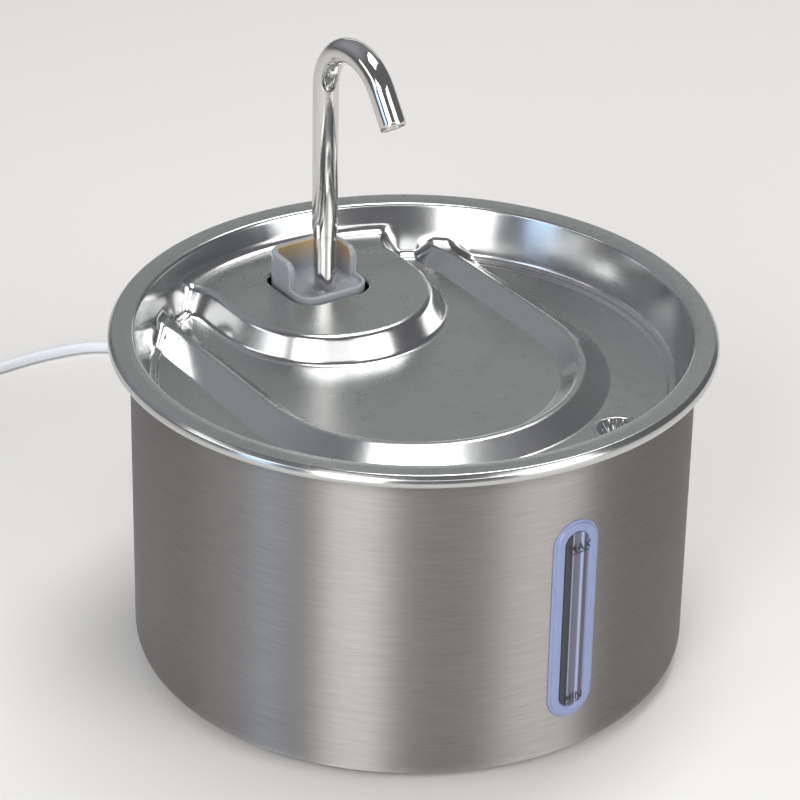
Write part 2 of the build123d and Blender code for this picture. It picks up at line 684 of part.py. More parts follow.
def make_usb_plug_tongue():
    """Contact tongue in the lower half of the shell."""
    x, y, z = plug_place()
    y1 = y - PLUG_RELIEF_L - PLUG_GRIP_L + 4
    y0 = y1 - PLUG_SHELL_L - 3.5
    z0 = z - PLUG_SHELL_T / 2 + PLUG_SHELL_WALL
    half = PLUG_TONGUE_W / 2
    return block(x - half, x + half, y0, y1, z0, z0 + PLUG_TONGUE_T)


# ---------------------------------------------------------------- filter case
def case_plan(grow):
    """Plan of the case, a rounded rectangle, grown outwards by grow."""
    length = CASE_BACK - CASE_FRONT
    outline = RectangleRounded(CASE_W + 2 * grow, length + 2 * grow, CASE_CORNER_R + grow)
    return Pos(0, (CASE_FRONT + CASE_BACK) / 2) * outline


def upright(plan, z0, z1):
    """A plan drawn up from z0 to z1."""
    return Pos(0, 0, z0) * extrude(plan, z1 - z0)


def make_filter_case():
    """Open box with an intake grille, cartridge guides, pump rails and holes for the cups."""
    case = upright(case_plan(0), CASE_Z0, CASE_Z1)
    case -= upright(case_plan(-CASE_WALL), CASE_FLOOR_TOP, CASE_Z1 + EPS)
    top = CASE_Z1 - COVER_SKIRT - GAP
    inside = CASE_W / 2 - CASE_WALL
    channel_in = CART_W / 2 - GUIDE_D + 1
    channel_out = CART_W / 2 + GAP
    for side in (-1, 1):
        outer = side * (channel_out + GUIDE_T)
        x0, x1 = sorted((side * channel_in, outer))
        y0 = CART_Y0 - GAP - GUIDE_T
        y1 = CART_Y1 + GAP + GUIDE_T
        guide = block(x0, x1, y0, y1, CASE_FLOOR_TOP, top)
        g0, g1 = sorted((0, side * channel_out))
        guide -= block(g0, g1, CART_Y0 - GAP, CART_Y1 + GAP, CASE_FLOOR_TOP, top)
        w0, w1 = sorted((outer, side * inside))
        mid = (CART_Y0 + CART_Y1) / 2
        guide += block(w0, w1, mid - GUIDE_T / 2, mid + GUIDE_T / 2, CASE_FLOOR_TOP, top)
        case += guide
        r0, r1 = sorted((side * (PUMP_W / 2 + GAP), side * (PUMP_W / 2 + GAP + GUIDE_T)))
        case += block(r0, r1, PUMP_Y0, PUMP_MID_Y, CASE_FLOOR_TOP, CASE_FLOOR_TOP + 6)
        for y in (CUP_FRONT_Y, CUP_BACK_Y):
            case -= post(side * CUP_X, y, 0, CASE_FLOOR_TOP + EPS, CUP_NECK_R)
    for i in range(INTAKE_SLOTS):
        x = (i - (INTAKE_SLOTS - 1) / 2) * INTAKE_SLOT_PITCH
        half = INTAKE_SLOT_W / 2
        case -= block(x - half, x + half, CASE_FRONT - EPS, CASE_FRONT + CASE_WALL + EPS,
                      CASE_Z0 + 6, CASE_Z1 - 9)
    return case


def make_suction_cups():
    """Four rubber cups: hollow skirt on the bowl's floor, neck through the case, button head."""
    neck_z = CASE_Z0 - 1.2
    profile = section([
        (0, BOWL_FLOOR + CUP_HOLLOW_H), (CUP_R - 1.4, BOWL_FLOOR), (CUP_R, BOWL_FLOOR),
        (CUP_R, BOWL_FLOOR + 0.9), (CUP_HEAD_R, neck_z - 1.2), (CUP_HEAD_R, CASE_Z0),
        (CUP_NECK_R, CASE_Z0), (CUP_NECK_R, CASE_FLOOR_TOP), (CUP_HEAD_R, CASE_FLOOR_TOP),
        (CUP_HEAD_R - 0.8, CASE_FLOOR_TOP + CUP_HEAD_T), (0, CASE_FLOOR_TOP + CUP_HEAD_T),
    ])
    cup = turned(profile)
    spots = [(x, y) for x in (-CUP_X, CUP_X) for y in (CUP_FRONT_Y, CUP_BACK_Y)]
    return Compound([Pos(x, y, 0) * cup for x, y in spots])


def make_case_cover():
    """Lift-off cover: plate and skirt, slot for the cartridge, riser hole, notch for the lead."""
    cover = upright(case_plan(0), CASE_Z1, CASE_Z1 + COVER_T)
    edge = cover.faces().sort_by(Axis.Z)[-1].edges()
    cover = fillet(edge, 0.8)
    skirt = case_plan(-CASE_WALL - GAP) - case_plan(-CASE_WALL - GAP - GUIDE_T)
    cover += upright(skirt, CASE_Z1 - COVER_SKIRT, CASE_Z1)
    half = CART_W / 2 + 2 * GAP
    cover -= block(-half, half, CART_Y0 - 2 * GAP, CART_Y1 + 2 * GAP, 0, RIM_TOP)
    cover -= post(0, SPOUT_Y, 0, RIM_TOP, RISER_SOCKET_R)
    notch = CORD_R + 1.2
    return cover - block(-notch, notch, LEAD_Y - notch, CASE_BACK + EPS, 0, RIM_TOP)


def make_riser_pipe():
    """Pipe from the pump's outlet to the seat, with a flange that stands on the cover."""
    top = CASE_Z1 + COVER_T
    pipe = post(0, SPOUT_Y, RISER_SOCKET_Z, top, RISER_SOCKET_R)
    pipe += post(0, SPOUT_Y, top, top + 1.6, RISER_SOCKET_R + 2.2)
    pipe += post(0, SPOUT_Y, top, RISER_TOP, RISER_R)
    pipe -= post(0, SPOUT_Y, RISER_SOCKET_Z - EPS, STUB_TOP + GAP, STUB_R + RUN)
    return pipe - post(0, SPOUT_Y, RISER_SOCKET_Z, RISER_TOP + EPS, RISER_BORE_R)


# ---------------------------------------------------------------- filter cartridge
def make_cartridge_frame():
    """Frame open to front and back, with upright bars, and a tab to pull it out by."""
    z0 = CASE_FLOOR_TOP + GAP
    half = CART_W / 2
    frame = block(-half, half, CART_Y0, CART_Y1, z0, CART_TOP)
    inner = half - CART_WALL
    frame -= block(-inner, inner, CART_Y0 - EPS, CART_Y1 + EPS, z0 + CART_WALL, CART_TOP - CART_WALL)
    pitch = 2 * inner / (CART_BARS + 1)
    for i in range(CART_BARS):
        x = -inner + (i + 1) * pitch
        frame += block(x - 0.8, x + 0.8, CART_Y0, CART_Y0 + 1.2, z0, CART_TOP - EPS)
        frame += block(x - 0.8, x + 0.8, CART_Y1 - 1.2, CART_Y1, z0, CART_TOP - EPS)
    mid = (CART_Y0 + CART_Y1) / 2
    tab = block(-CART_PULL_W / 2, CART_PULL_W / 2, mid - CART_PULL_T / 2, mid + CART_PULL_T / 2,
                CART_TOP, CART_TOP + CART_PULL_H)
    tab = fillet(tab.edges().filter_by(Axis.Y).sort_by(Axis.Z)[-2:], 2.4)
    return frame + tab


def cartridge_fill(y0, y1):
    """A slab inside the cartridge's frame."""
    inner = CART_W / 2 - CART_WALL
    z0 = CASE_FLOOR_TOP + GAP + CART_WALL
    return block(-inner, inner, y0, y1, z0, CART_TOP - CART_WALL)


def make_cotton_pad():
    """Pad of filter cotton on the side the water comes from."""
    return cartridge_fill(CART_Y0 + 1.2, CART_Y0 + 4.4)


def make_carbon_bed():
    """Bag of carbon granules behind the pad."""
    return cartridge_fill(CART_Y0 + 4.4, CART_Y1 - 1.2)


# ---------------------------------------------------------------- pump
def make_pump_housing():
    """Impeller chamber, outlet stub, rotor well and the stator's shell, in one moulding."""
    half = PUMP_W / 2
    body = block(-half, half, PUMP_Y0, PUMP_SHELL_Y, PUMP_Z0, PUMP_Z1)
    body = fillet(body.edges().filter_by(Axis.Y), PUMP_EDGE_R)
    inner = half - PUMP_WALL
    body -= block(-inner, inner, PUMP_MID_Y, PUMP_SHELL_Y + EPS, PUMP_Z0 + PUMP_WALL,
                  PUMP_Z1 - PUMP_WALL)
    body += spindle(0, SHAFT_Z, CHAMBER_Y1, WELL_Y1, WELL_R + WELL_WALL)
    for x, z in screw_spots():
        body += spindle(x, z, PUMP_SHELL_Y - SCREW_L, PUMP_SHELL_Y, SCREW_HEAD_R + 0.5)
        body -= spindle(x, z, PUMP_Y1 - SCREW_L, PUMP_SHELL_Y + EPS, SCREW_R)
    body += post(0, SPOUT_Y, PUMP_Z1 - 2 * EPS, STUB_TOP, STUB_R)
    body += post(0, LEAD_Y, PUMP_Z1 - PUMP_WALL, PUMP_Z1 + 3, CORD_R + 1.4)
    body -= spindle(0, SHAFT_Z, PUMP_Y0 - EPS, CHAMBER_Y1, CHAMBER_R)
    body -= spindle(0, SHAFT_Z, CHAMBER_Y1 - EPS, WELL_Y1 - WELL_WALL, WELL_R)
    body -= post(0, SPOUT_Y, SHAFT_Z, STUB_TOP + EPS, STUB_BORE_R)
    body -= post(0, LEAD_Y, PUMP_Z1 - 2 * PUMP_WALL, PUMP_Z1 + 4, CORD_R)
    socket_y = WELL_Y1 - WELL_WALL
    body += spindle(0, SHAFT_Z, socket_y - BUSH_L + 0.5, socket_y, BUSH_R + 1.2)
    return body - spindle(0, SHAFT_Z, socket_y - BUSH_L, socket_y, BUSH_R)


def screw_spots():
    """Middles of the back cap's four screws."""
    reach_x = PUMP_W / 2 - SCREW_INSET
    reach_z = PUMP_H / 2 - SCREW_INSET
    mid_z = (PUMP_Z0 + PUMP_Z1) / 2
    return [(sx * reach_x, mid_z + sz * reach_z) for sx in (-1, 1) for sz in (-1, 1)]


def make_pump_back_cap():
    """Cover of the stator's shell with a locating rim."""
    half = PUMP_W / 2
    cap = block(-half, half, PUMP_SHELL_Y, PUMP_Y1, PUMP_Z0, PUMP_Z1)
    cap = fillet(cap.edges().filter_by(Axis.Y), PUMP_EDGE_R)
    for x, z in screw_spots():
        cap -= spindle(x, z, PUMP_SHELL_Y - EPS, PUMP_Y1 + EPS, SCREW_R + FIT)
    rim_y = BOARD_Y0 + BOARD_T
    rim = spindle(0, SHAFT_Z, rim_y, PUMP_SHELL_Y, STATOR_R - 1) - spindle(
        0, SHAFT_Z, rim_y - EPS, PUMP_SHELL_Y + EPS, STATOR_R - 3)
    return cap + rim


def make_cap_screws():
    """Four pan-head screws."""
    screws = []
    for x, z in screw_spots():
        stem = spindle(x, z, PUMP_Y1 - SCREW_L, PUMP_Y1, SCREW_R)
        head = spindle(x, z, PUMP_Y1, PUMP_Y1 + SCREW_HEAD_T, SCREW_HEAD_R)
        slot = block(x - SCREW_HEAD_R, x + SCREW_HEAD_R, PUMP_Y1 + SCREW_HEAD_T / 2,
                     PUMP_Y1 + SCREW_HEAD_T + EPS, z - 0.3, z + 0.3)
        screws.append(stem + head - slot)
    return Compound(screws)


def tooth(angle, half_w, r0, r1, y0, y1):
    """A radial bar at an angle round the shaft."""
    bar = block(r0, r1, y0, y1, -half_w, half_w)
    return Pos(0, 0, SHAFT_Z) * Rot(0, angle, 0) * bar


def make_stator_core():
    """Laminated ring with four teeth that reach in to the rotor's well."""
    core = spindle(0, SHAFT_Z, STATOR_Y0, STATOR_Y1, STATOR_R)
    inner = STATOR_R - STATOR_RING_T
    core -= spindle(0, SHAFT_Z, STATOR_Y0 - EPS, STATOR_Y1 + EPS, inner)
    for i in range(STATOR_TEETH):
        core += tooth(360 / STATOR_TEETH * i, TOOTH_W / 2, WELL_R, inner + 0.5, STATOR_Y0, STATOR_Y1)
    return core - spindle(0, SHAFT_Z, STATOR_Y0 - EPS, STATOR_Y1 + EPS, WELL_R + WELL_WALL)


def make_stator_coils():
    """A winding round each tooth."""
    r0 = WELL_R + WELL_WALL + 0.7
    r1 = STATOR_R - STATOR_RING_T - 0.9
    coils = []
    for i in range(STATOR_TEETH):
        angle = 360 / STATOR_TEETH * i
        outer = tooth(angle, TOOTH_W / 2 + COIL_T, r0, r1, STATOR_Y0 - COIL_T, STATOR_Y1 + COIL_T)
        inner = tooth(angle, TOOTH_W / 2, r0 - EPS, r1 + EPS, STATOR_Y0, STATOR_Y1)
        coils.append(outer - inner)
    return Compound(coils)


def make_driver_board():
    """Board behind the stator, round the end of the rotor's well."""
    half = PUMP_W / 2 - PUMP_WALL - GAP
    z0 = PUMP_Z0 + PUMP_WALL + GAP
    z1 = PUMP_Z1 - PUMP_WALL - GAP
    board = block(-half, half, BOARD_Y0, BOARD_Y0 + BOARD_T, z0, z1)
    board -= spindle(0, SHAFT_Z, BOARD_Y0 - EPS, BOARD_Y0 + BOARD_T + EPS, WELL_R + WELL_WALL + GAP)
    for x, z in screw_spots():
        board -= spindle(x, z, BOARD_Y0 - EPS, BOARD_Y0 + BOARD_T + EPS, SCREW_HEAD_R + 1)
    return board


def make_bush(y0, open_side):
    """Bush with a blind socket for the shaft's end on its open side."""
    bush = spindle(0, SHAFT_Z, y0, y0 + BUSH_L, BUSH_R)
    if open_side > 0:
        socket = spindle(0, SHAFT_Z, y0 + BUSH_L - SHAFT_SOCKET, y0 + BUSH_L + EPS, SHAFT_R)
    else:
        socket = spindle(0, SHAFT_Z, y0 - EPS, y0 + SHAFT_SOCKET, SHAFT_R)
    return bush - socket


def rear_bush_y():
    """Front face of the rear bush."""
    return WELL_Y1 - WELL_WALL - BUSH_L


def make_front_bush():
    """Bush in the pump cover's hub."""
    return make_bush(IMPELLER_Y0 - 0.4 - BUSH_L, 1)


def make_rear_bush():
    """Bush at the end of the rotor's well."""
    return make_bush(rear_bush_y(), -1)


def make_pump_shaft():
    """Ceramic shaft that stands still between the bushes."""
    y0 = IMPELLER_Y0 - 0.4 - SHAFT_SOCKET
    return spindle(0, SHAFT_Z, y0, rear_bush_y() + SHAFT_SOCKET, SHAFT_R)


def make_impeller():
    """Vanes on a disc, with a sleeve through the magnet."""
    disc_y = IMPELLER_Y0 + VANE_H
    wheel = spindle(0, SHAFT_Z, disc_y, disc_y + IMPELLER_DISC_T, IMPELLER_R)
    for i in range(IMPELLER_VANES):
        vane = block(HUB_R - EPS, IMPELLER_R, IMPELLER_Y0, disc_y + 0.5, -VANE_T / 2, VANE_T / 2)
        wheel += Pos(0, 0, SHAFT_Z) * Rot(0, 360 / IMPELLER_VANES * i, 0) * vane
    wheel += spindle(0, SHAFT_Z, IMPELLER_Y0, ROTOR_Y1, SLEEVE_R)
    return wheel - spindle(0, SHAFT_Z, IMPELLER_Y0 - EPS, ROTOR_Y1 + EPS, SHAFT_R + RUN)


def make_rotor_magnet():
    """Ring magnet on the impeller's sleeve."""
    ring = spindle(0, SHAFT_Z, ROTOR_Y0, ROTOR_Y1, ROTOR_R)
    ring = chamfer(ring.edges(), 0.5)
    return ring - spindle(0, SHAFT_Z, ROTOR_Y0 - EPS, ROTOR_Y1 + EPS, SLEEVE_R)


def make_pump_cover():
    """Front cover: plate, ring that pushes into the chamber, intake with spokes and a hub."""
    y0 = PUMP_Y0 - PUMP_COVER_T
    half = PUMP_W / 2 - 0.5
    cover = block(-half, half, y0, PUMP_Y0, PUMP_Z0 + 0.5, PUMP_Z1 - 0.5)
    cover = fillet(cover.edges().filter_by(Axis.Y), PUMP_EDGE_R)
    outer = CHAMBER_R - FIT
    cover += spindle(0, SHAFT_Z, PUMP_Y0, PUMP_Y0 + SPIGOT_L, outer)
    cover -= spindle(0, SHAFT_Z, PUMP_Y0, PUMP_Y0 + SPIGOT_L + EPS, outer - SPIGOT_WALL)
    cover -= spindle(0, SHAFT_Z, y0 - EPS, PUMP_Y0 + EPS, INTAKE_R)
    for i in range(3):
        spoke = block(0, INTAKE_R + EPS, y0, PUMP_Y0, -SPOKE_W / 2, SPOKE_W / 2)
        cover += Pos(0, 0, SHAFT_Z) * Rot(0, 120 * i + 90, 0) * spoke
    cover += spindle(0, SHAFT_Z, y0, IMPELLER_Y0 - 0.8, HUB_R)
    return cover - spindle(0, SHAFT_Z, IMPELLER_Y0 - 0.4 - BUSH_L, IMPELLER_Y0, BUSH_R)


if __name__ == "__main__":
    os.makedirs("parts", exist_ok=True)
    makers = {
        "bowl": make_bowl,
        "foot_pads": make_foot_pads,
        "window_seal": make_window_seal,
        "window_lens": make_window_lens,
        "window_clamp": make_window_clamp,
        "cord_grommet": make_cord_grommet,
        "pump_lead": make_pump_lead,
        "power_cord": lambda: cord_tube(CORD_ROUTE),
        "cord_coil": make_cord_coil,
        "cord_ties": make_cord_ties,
        "cord_tail": lambda: cord_tube(TAIL_ROUTE),
        "usb_plug_grip": make_usb_plug_grip,
        "usb_plug_shell": make_usb_plug_shell,
        "usb_plug_tongue": make_usb_plug_tongue,
        "filter_case": make_filter_case,
        "suction_cups": make_suction_cups,
        "pump_housing": make_pump_housing,
        "pump_back_cap": make_pump_back_cap,
        "cap_screws": make_cap_screws,
        "stator_core": make_stator_core,
        "stator_coils": make_stator_coils,
        "driver_board": make_driver_board,
        "rear_bush": make_rear_bush,
        "pump_shaft": make_pump_shaft,
        "pump_cover": make_pump_cover,
        "front_bush": make_front_bush,
        "impeller": make_impeller,
        "rotor_magnet": make_rotor_magnet,
        "case_cover": make_case_cover,
        "riser_pipe": make_riser_pipe,
        "cartridge_frame": make_cartridge_frame,
        "cotton_pad": make_cotton_pad,
        "carbon_bed": make_carbon_bed,
        "spout_seat": make_spout_seat,
        "spout_tube": make_spout_tube,
        "lid_tray": make_lid_tray,
    }
    for node, make in makers.items():
        save(make(), node)
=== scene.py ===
import json
import math

import bmesh
import bpy
import numpy as np
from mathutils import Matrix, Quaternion, Vector


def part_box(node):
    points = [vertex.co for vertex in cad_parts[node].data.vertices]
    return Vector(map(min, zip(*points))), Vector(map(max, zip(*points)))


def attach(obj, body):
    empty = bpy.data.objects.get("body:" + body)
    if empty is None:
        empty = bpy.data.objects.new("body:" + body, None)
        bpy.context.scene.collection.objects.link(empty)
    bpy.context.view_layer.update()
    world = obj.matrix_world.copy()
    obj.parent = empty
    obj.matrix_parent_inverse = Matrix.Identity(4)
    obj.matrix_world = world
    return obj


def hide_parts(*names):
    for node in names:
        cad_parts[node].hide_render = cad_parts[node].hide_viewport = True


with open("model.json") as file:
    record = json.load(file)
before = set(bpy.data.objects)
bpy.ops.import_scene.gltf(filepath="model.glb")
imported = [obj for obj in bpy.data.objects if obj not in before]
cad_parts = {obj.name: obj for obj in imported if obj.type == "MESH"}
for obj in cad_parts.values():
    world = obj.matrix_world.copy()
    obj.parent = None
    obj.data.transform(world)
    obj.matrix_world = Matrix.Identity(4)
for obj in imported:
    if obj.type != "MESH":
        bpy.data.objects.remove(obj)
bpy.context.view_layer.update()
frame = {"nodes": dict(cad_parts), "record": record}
MM = 0.001

# %% [markdown]
# ## Camera
# The view is from the front left and from above, with a long lens.
# %%
CAMERA_AT = (-564.6, -830.8, 642.4)
CAMERA_AIM = (-3.29, 2.24, 88.41)
CAMERA_LENS = 157.84
CAMERA_ROLL = -1.087
SENSOR_W = 36.0


def make_camera():
    """Camera at its place in millimetres, turned to the aim point and rolled."""
    data = bpy.data.cameras.new("camera")
    data.lens = CAMERA_LENS
    data.sensor_width = SENSOR_W
    data.clip_start = 0.05
    data.clip_end = 50.0
    camera = bpy.data.objects.new("camera", data)
    bpy.context.scene.collection.objects.link(camera)
    place = Vector(CAMERA_AT) * MM
    look = (Vector(CAMERA_AIM) * MM - place).normalized()
    camera.location = place
    camera.rotation_mode = "QUATERNION"
    roll = Quaternion(look, math.radians(CAMERA_ROLL))
    camera.rotation_quaternion = roll @ look.to_track_quat("-Z", "Y")
    bpy.context.scene.camera = camera


make_camera()

# %% [markdown]
# ## Lead
# One smooth curve runs from the grommet down to the table, round the coil and on to the plug.
# Its free points are the CAD route's, and a loop works out the turns of the coil.
# %%
CORD_D = 4.2
CORD_ROUTE = [
    (0.0, 98.0, 89.0),
    (0.0, 113.0, 89.0),
    (0.5, 127.5, 81.0),
    (1.0, 136.5, 65.5),
    (1.8, 143.5, 47.5),
    (2.8, 152.5, 29.0),
    (4.4, 166.0, 13.5),
    (7.4, 182.0, 3.8),
    (18.4, 199.5, 2.1),
    (20.0, 218.0, 2.1),
    (8.5, 231.2, 2.1),
    (-14.2, 235.0, 2.1),
    (-33.0, 234.2, 2.1),
    (-54.0, 233.4, 2.1),
    (-76.0, 234.1, 2.5),
]
TAIL_ROUTE = [
    (-127.1, 194.0, 14.6),
    (-127.6, 181.0, 9.0),
    (-128.2, 168.0, 4.9),
    (-128.2, 154.0, 4.2),
]
COIL_AT = (-100.0, 207.0)
COIL_TURN_R = (27.1, 22.9)
COIL_FIRST_Z = 2.8
COIL_LAYERS = 4
COIL_END_TURNS = 7.25
COIL_POINTS = 16
COIL_START_ANGLE = 90
COIL_STEP_PART = 0.12
CURVE_STEPS = 8


def coil_slots():
    """Radius and height of each turn: out and in by turns, one layer on the next."""
    slots = []
    for layer in range(COIL_LAYERS):
        order = COIL_TURN_R if layer % 2 == 0 else COIL_TURN_R[::-1]
        slots += [(radius, COIL_FIRST_Z + layer * CORD_D) for radius in order]
    return slots


def coil_points():
    """Points of the coil, where each turn steps to the next one in its last stretch."""
    slots = coil_slots()
    span = COIL_END_TURNS / len(slots)
    points = []
    for i in range(int(COIL_END_TURNS * COIL_POINTS) + 1):
        turn = i / COIL_POINTS
        which = min(int(turn / span), len(slots) - 1)
        after = slots[min(which + 1, len(slots) - 1)]
        part = turn / span - which
        step = min(max((part - 1 + COIL_STEP_PART) / COIL_STEP_PART, 0.0), 1.0)
        radius = slots[which][0] * (1 - step) + after[0] * step
        height = slots[which][1] * (1 - step) + after[1] * step
        angle = math.radians(COIL_START_ANGLE + 360 * turn)
        points.append((COIL_AT[0] + radius * math.cos(angle),
                       COIL_AT[1] + radius * math.sin(angle), height))
    return points


def make_lead():
    """The whole lead as one NURBS curve, round in section."""
    points = CORD_ROUTE + coil_points() + TAIL_ROUTE
    data = bpy.data.curves.new("lead", "CURVE")
    data.dimensions = "3D"
    spline = data.splines.new("NURBS")
    spline.points.add(len(points) - 1)
    for target, point in zip(spline.points, points):
        target.co = (point[0] * MM, point[1] * MM, point[2] * MM, 1.0)
        target.radius = CORD_D / 2 * MM
    spline.order_u = 3
    spline.use_endpoint_u = True
    data.resolution_u = CURVE_STEPS
    data.render_resolution_u = CURVE_STEPS
    data.bevel_depth = 1.0
    data.bevel_resolution = 6
    lead = bpy.data.objects.new("lead", data)
    bpy.context.scene.collection.objects.link(lead)
    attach(lead, "bowl_body")
    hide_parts("power_cord", "cord_coil", "cord_tail")
    return lead


lead = make_lead()

# %% [markdown]
# ## Small helpers
# Colours are written as hex, and one function adds a shader node with its inputs.
# %%


def colour(code):
    """Linear RGBA of an sRGB hex code."""
    parts = [int(code[i:i + 2], 16) / 255 for i in (1, 3, 5)]
    linear = [c / 12.92 if c <= 0.04045 else ((c + 0.055) / 1.055) ** 2.4 for c in parts]
    return (*linear, 1.0)


def add(tree, kind, inputs=None, **settings):
    """A new shader node; inputs maps a socket to a value or to another node's output."""
    node = tree.nodes.new(kind)
    for key, value in settings.items():
        setattr(node, key, value)
    for key, value in (inputs or {}).items():
        if isinstance(value, bpy.types.NodeSocket):
            tree.links.new(value, node.inputs[key])
        else:
            node.inputs[key].default_value = value
    return node


def new_material(name):
    """An empty material, its node tree and its Principled shader."""
    material = bpy.data.materials.new(name)
    material.use_nodes = True
    tree = material.node_tree
    tree.nodes.clear()
    shader = add(tree, "ShaderNodeBsdfPrincipled")
    output = add(tree, "ShaderNodeOutputMaterial")
    tree.links.new(shader.outputs["BSDF"], output.inputs["Surface"])
    return material, tree, shader


def blend_colours(tree, factor, low, high):
    """Colour output that goes from low to high with a factor output."""
    mix = add(tree, "ShaderNodeMix", data_type="RGBA")
    tree.links.new(factor, mix.inputs[0])
    for socket, value in ((6, low), (7, high)):
        if isinstance(value, bpy.types.NodeSocket):
            tree.links.new(value, mix.inputs[socket])
        else:
            mix.inputs[socket].default_value = colour(value)
    return mix.outputs[2]


def ranged(tree, value, low, high, to_low, to_high):
    """A value mapped from one range to another and held at the ends."""
    node = add(tree, "ShaderNodeMapRange", {"Value": value, "From Min": low, "From Max": high,
                                            "To Min": to_low, "To Max": to_high})
    return node.outputs["Result"]


def stretched_noise(tree, scale, detail=3.0, roughness=0.55):
    """Noise of object coordinates with its own scale in 1/m on each axis."""
    place = add(tree, "ShaderNodeTexCoord")
    stretch = add(tree, "ShaderNodeMapping", {"Vector": place.outputs["Object"], "Scale": scale})
    noise = add(tree, "ShaderNodeTexNoise", {"Vector": stretch.outputs["Vector"], "Scale": 1.0,
                                             "Detail": detail, "Roughness": roughness})
    return noise.outputs["Fac"]


def bump(tree, shader, height, distance, strength=1.0):
    """Joins a height output to the shader's normal; distance is in metres."""
    node = add(tree, "ShaderNodeBump", {"Height": height, "Distance": distance,
                                        "Strength": strength})
    tree.links.new(node.outputs["Normal"], shader.inputs["Normal"])


# %% [markdown]
# ## Materials
# Steel has three finishes: a fine horizontal brushing round the bowl, satin on the pressed tray
# with brighter formed edges, and polish on the spout.
# %%


def brushed_steel():
    """Steel with long fine scratches round the wall, which draw reflections out upright."""
    material, tree, shader = new_material("brushed_steel")
    fine = stretched_noise(tree, (150.0, 150.0, 4800.0), 2.0)
    broad = stretched_noise(tree, (80.0, 80.0, 1900.0), 2.0)
    tint = blend_colours(tree, ranged(tree, broad, 0.3, 0.7, 0.0, 1.0), "#a9a5a2", "#b3afac")
    tree.links.new(tint, shader.inputs["Base Color"])
    tree.links.new(ranged(tree, fine, 0.25, 0.75, 0.50, 0.58), shader.inputs["Roughness"])
    shader.inputs["Metallic"].default_value = 1.0
    shader.inputs["Anisotropic"].default_value = 1.0
    shader.inputs["Anisotropic Rotation"].default_value = 0.25
    around = add(tree, "ShaderNodeTangent", direction_type="RADIAL", axis="Z")
    tree.links.new(around.outputs["Tangent"], shader.inputs["Tangent"])
    bump(tree, shader, fine, 0.000006, 0.5)
    return material


def pressed_steel():
    """Satin sheet, a little smoother where it was stretched over the forms."""
    material, tree, shader = new_material("pressed_steel")
    place = add(tree, "ShaderNodeNewGeometry")
    parts = add(tree, "ShaderNodeSeparateXYZ", {"Vector": place.outputs["Normal"]})
    flat = ranged(tree, parts.outputs["Z"], 0.90, 0.995, 0.0, 1.0)
    grain = stretched_noise(tree, (240.0, 240.0, 240.0), 3.0)
    satin = ranged(tree, grain, 0.3, 0.7, 0.27, 0.29)
    drawn = ranged(tree, grain, 0.3, 0.7, 0.17, 0.19)
    rough = add(tree, "ShaderNodeMix", data_type="FLOAT")
    tree.links.new(flat, rough.inputs[0])
    tree.links.new(drawn, rough.inputs[2])
    tree.links.new(satin, rough.inputs[3])
    tree.links.new(rough.outputs[0], shader.inputs["Roughness"])
    tint = blend_colours(tree, grain, "#c4c5c4", "#c9cac9")
    tree.links.new(tint, shader.inputs["Base Color"])
    shader.inputs["Metallic"].default_value = 1.0
    return material


def bright_steel():
    """Polished drawn tube with faint marks along its length."""
    material, tree, shader = new_material("bright_steel")
    marks = stretched_noise(tree, (1600.0, 1600.0, 60.0), 2.0)
    tree.links.new(ranged(tree, marks, 0.3, 0.8, 0.06, 0.11), shader.inputs["Roughness"])
    tint = blend_colours(tree, marks, "#d0ceca", "#d8d6d3")
    tree.links.new(tint, shader.inputs["Base Color"])
    shader.inputs["Metallic"].default_value = 1.0
    bump(tree, shader, marks, 0.000003, 0.4)
    return material


def silicone(name, low, high, rough, through=(0.004, 0.004, 0.005)):
    """Soft translucent silicone with a faint cloud in it."""
    material, tree, shader = new_material(name)
    cloud = stretched_noise(tree, (220.0, 220.0, 220.0), 2.0)
    tree.links.new(blend_colours(tree, cloud, low, high), shader.inputs["Base Color"])
    tree.links.new(ranged(tree, cloud, 0.3, 0.7, rough - 0.02, rough + 0.02),
                   shader.inputs["Roughness"])
    shader.inputs["IOR"].default_value = 1.41
    shader.inputs["Subsurface Weight"].default_value = 0.35
    shader.inputs["Subsurface Radius"].default_value = through
    shader.inputs["Subsurface Scale"].default_value = 0.6
    return material


# Middle, facing range and rise of the painted warm light on the seat's inner faces.
SEAT_MIDDLE = (0.0, 57.8, 109.0)
WARM_LIGHT_FACING = (-0.2, -0.75)
WARM_LIGHT_RISE = 8.0


def inside_painted_warm_light(material, middle, outer, inner):
    """Paints warm light in the inner colour on upright faces above the middle that look at it."""
    tree = material.node_tree
    shader = tree.nodes["Principled BSDF"]
    place = add(tree, "ShaderNodeTexCoord")
    away = add(tree, "ShaderNodeVectorMath", {0: place.outputs["Object"], 1: middle},
               operation="SUBTRACT")
    flat = add(tree, "ShaderNodeVectorMath", {0: away.outputs["Vector"], 1: (1, 1, 0)},
               operation="MULTIPLY")
    unit = add(tree, "ShaderNodeVectorMath", {0: flat.outputs["Vector"]}, operation="NORMALIZE")
    facing = add(tree, "ShaderNodeNewGeometry")
    dot = add(tree, "ShaderNodeVectorMath", {0: unit.outputs["Vector"],
                                             1: facing.outputs["Normal"]},
              operation="DOT_PRODUCT")
    inward = ranged(tree, dot.outputs["Value"], *WARM_LIGHT_FACING, 0.0, 1.0)
    height = add(tree, "ShaderNodeSeparateXYZ", {"Vector": away.outputs["Vector"]})
    above = ranged(tree, height.outputs["Z"], 0.0, WARM_LIGHT_RISE * MM, 0.0, 1.0)
    both = add(tree, "ShaderNodeMath", {0: inward, 1: above}, operation="MULTIPLY")
    tint = blend_colours(tree, both.outputs["Value"], outer, inner)
    tree.links.new(tint, shader.inputs["Base Color"])


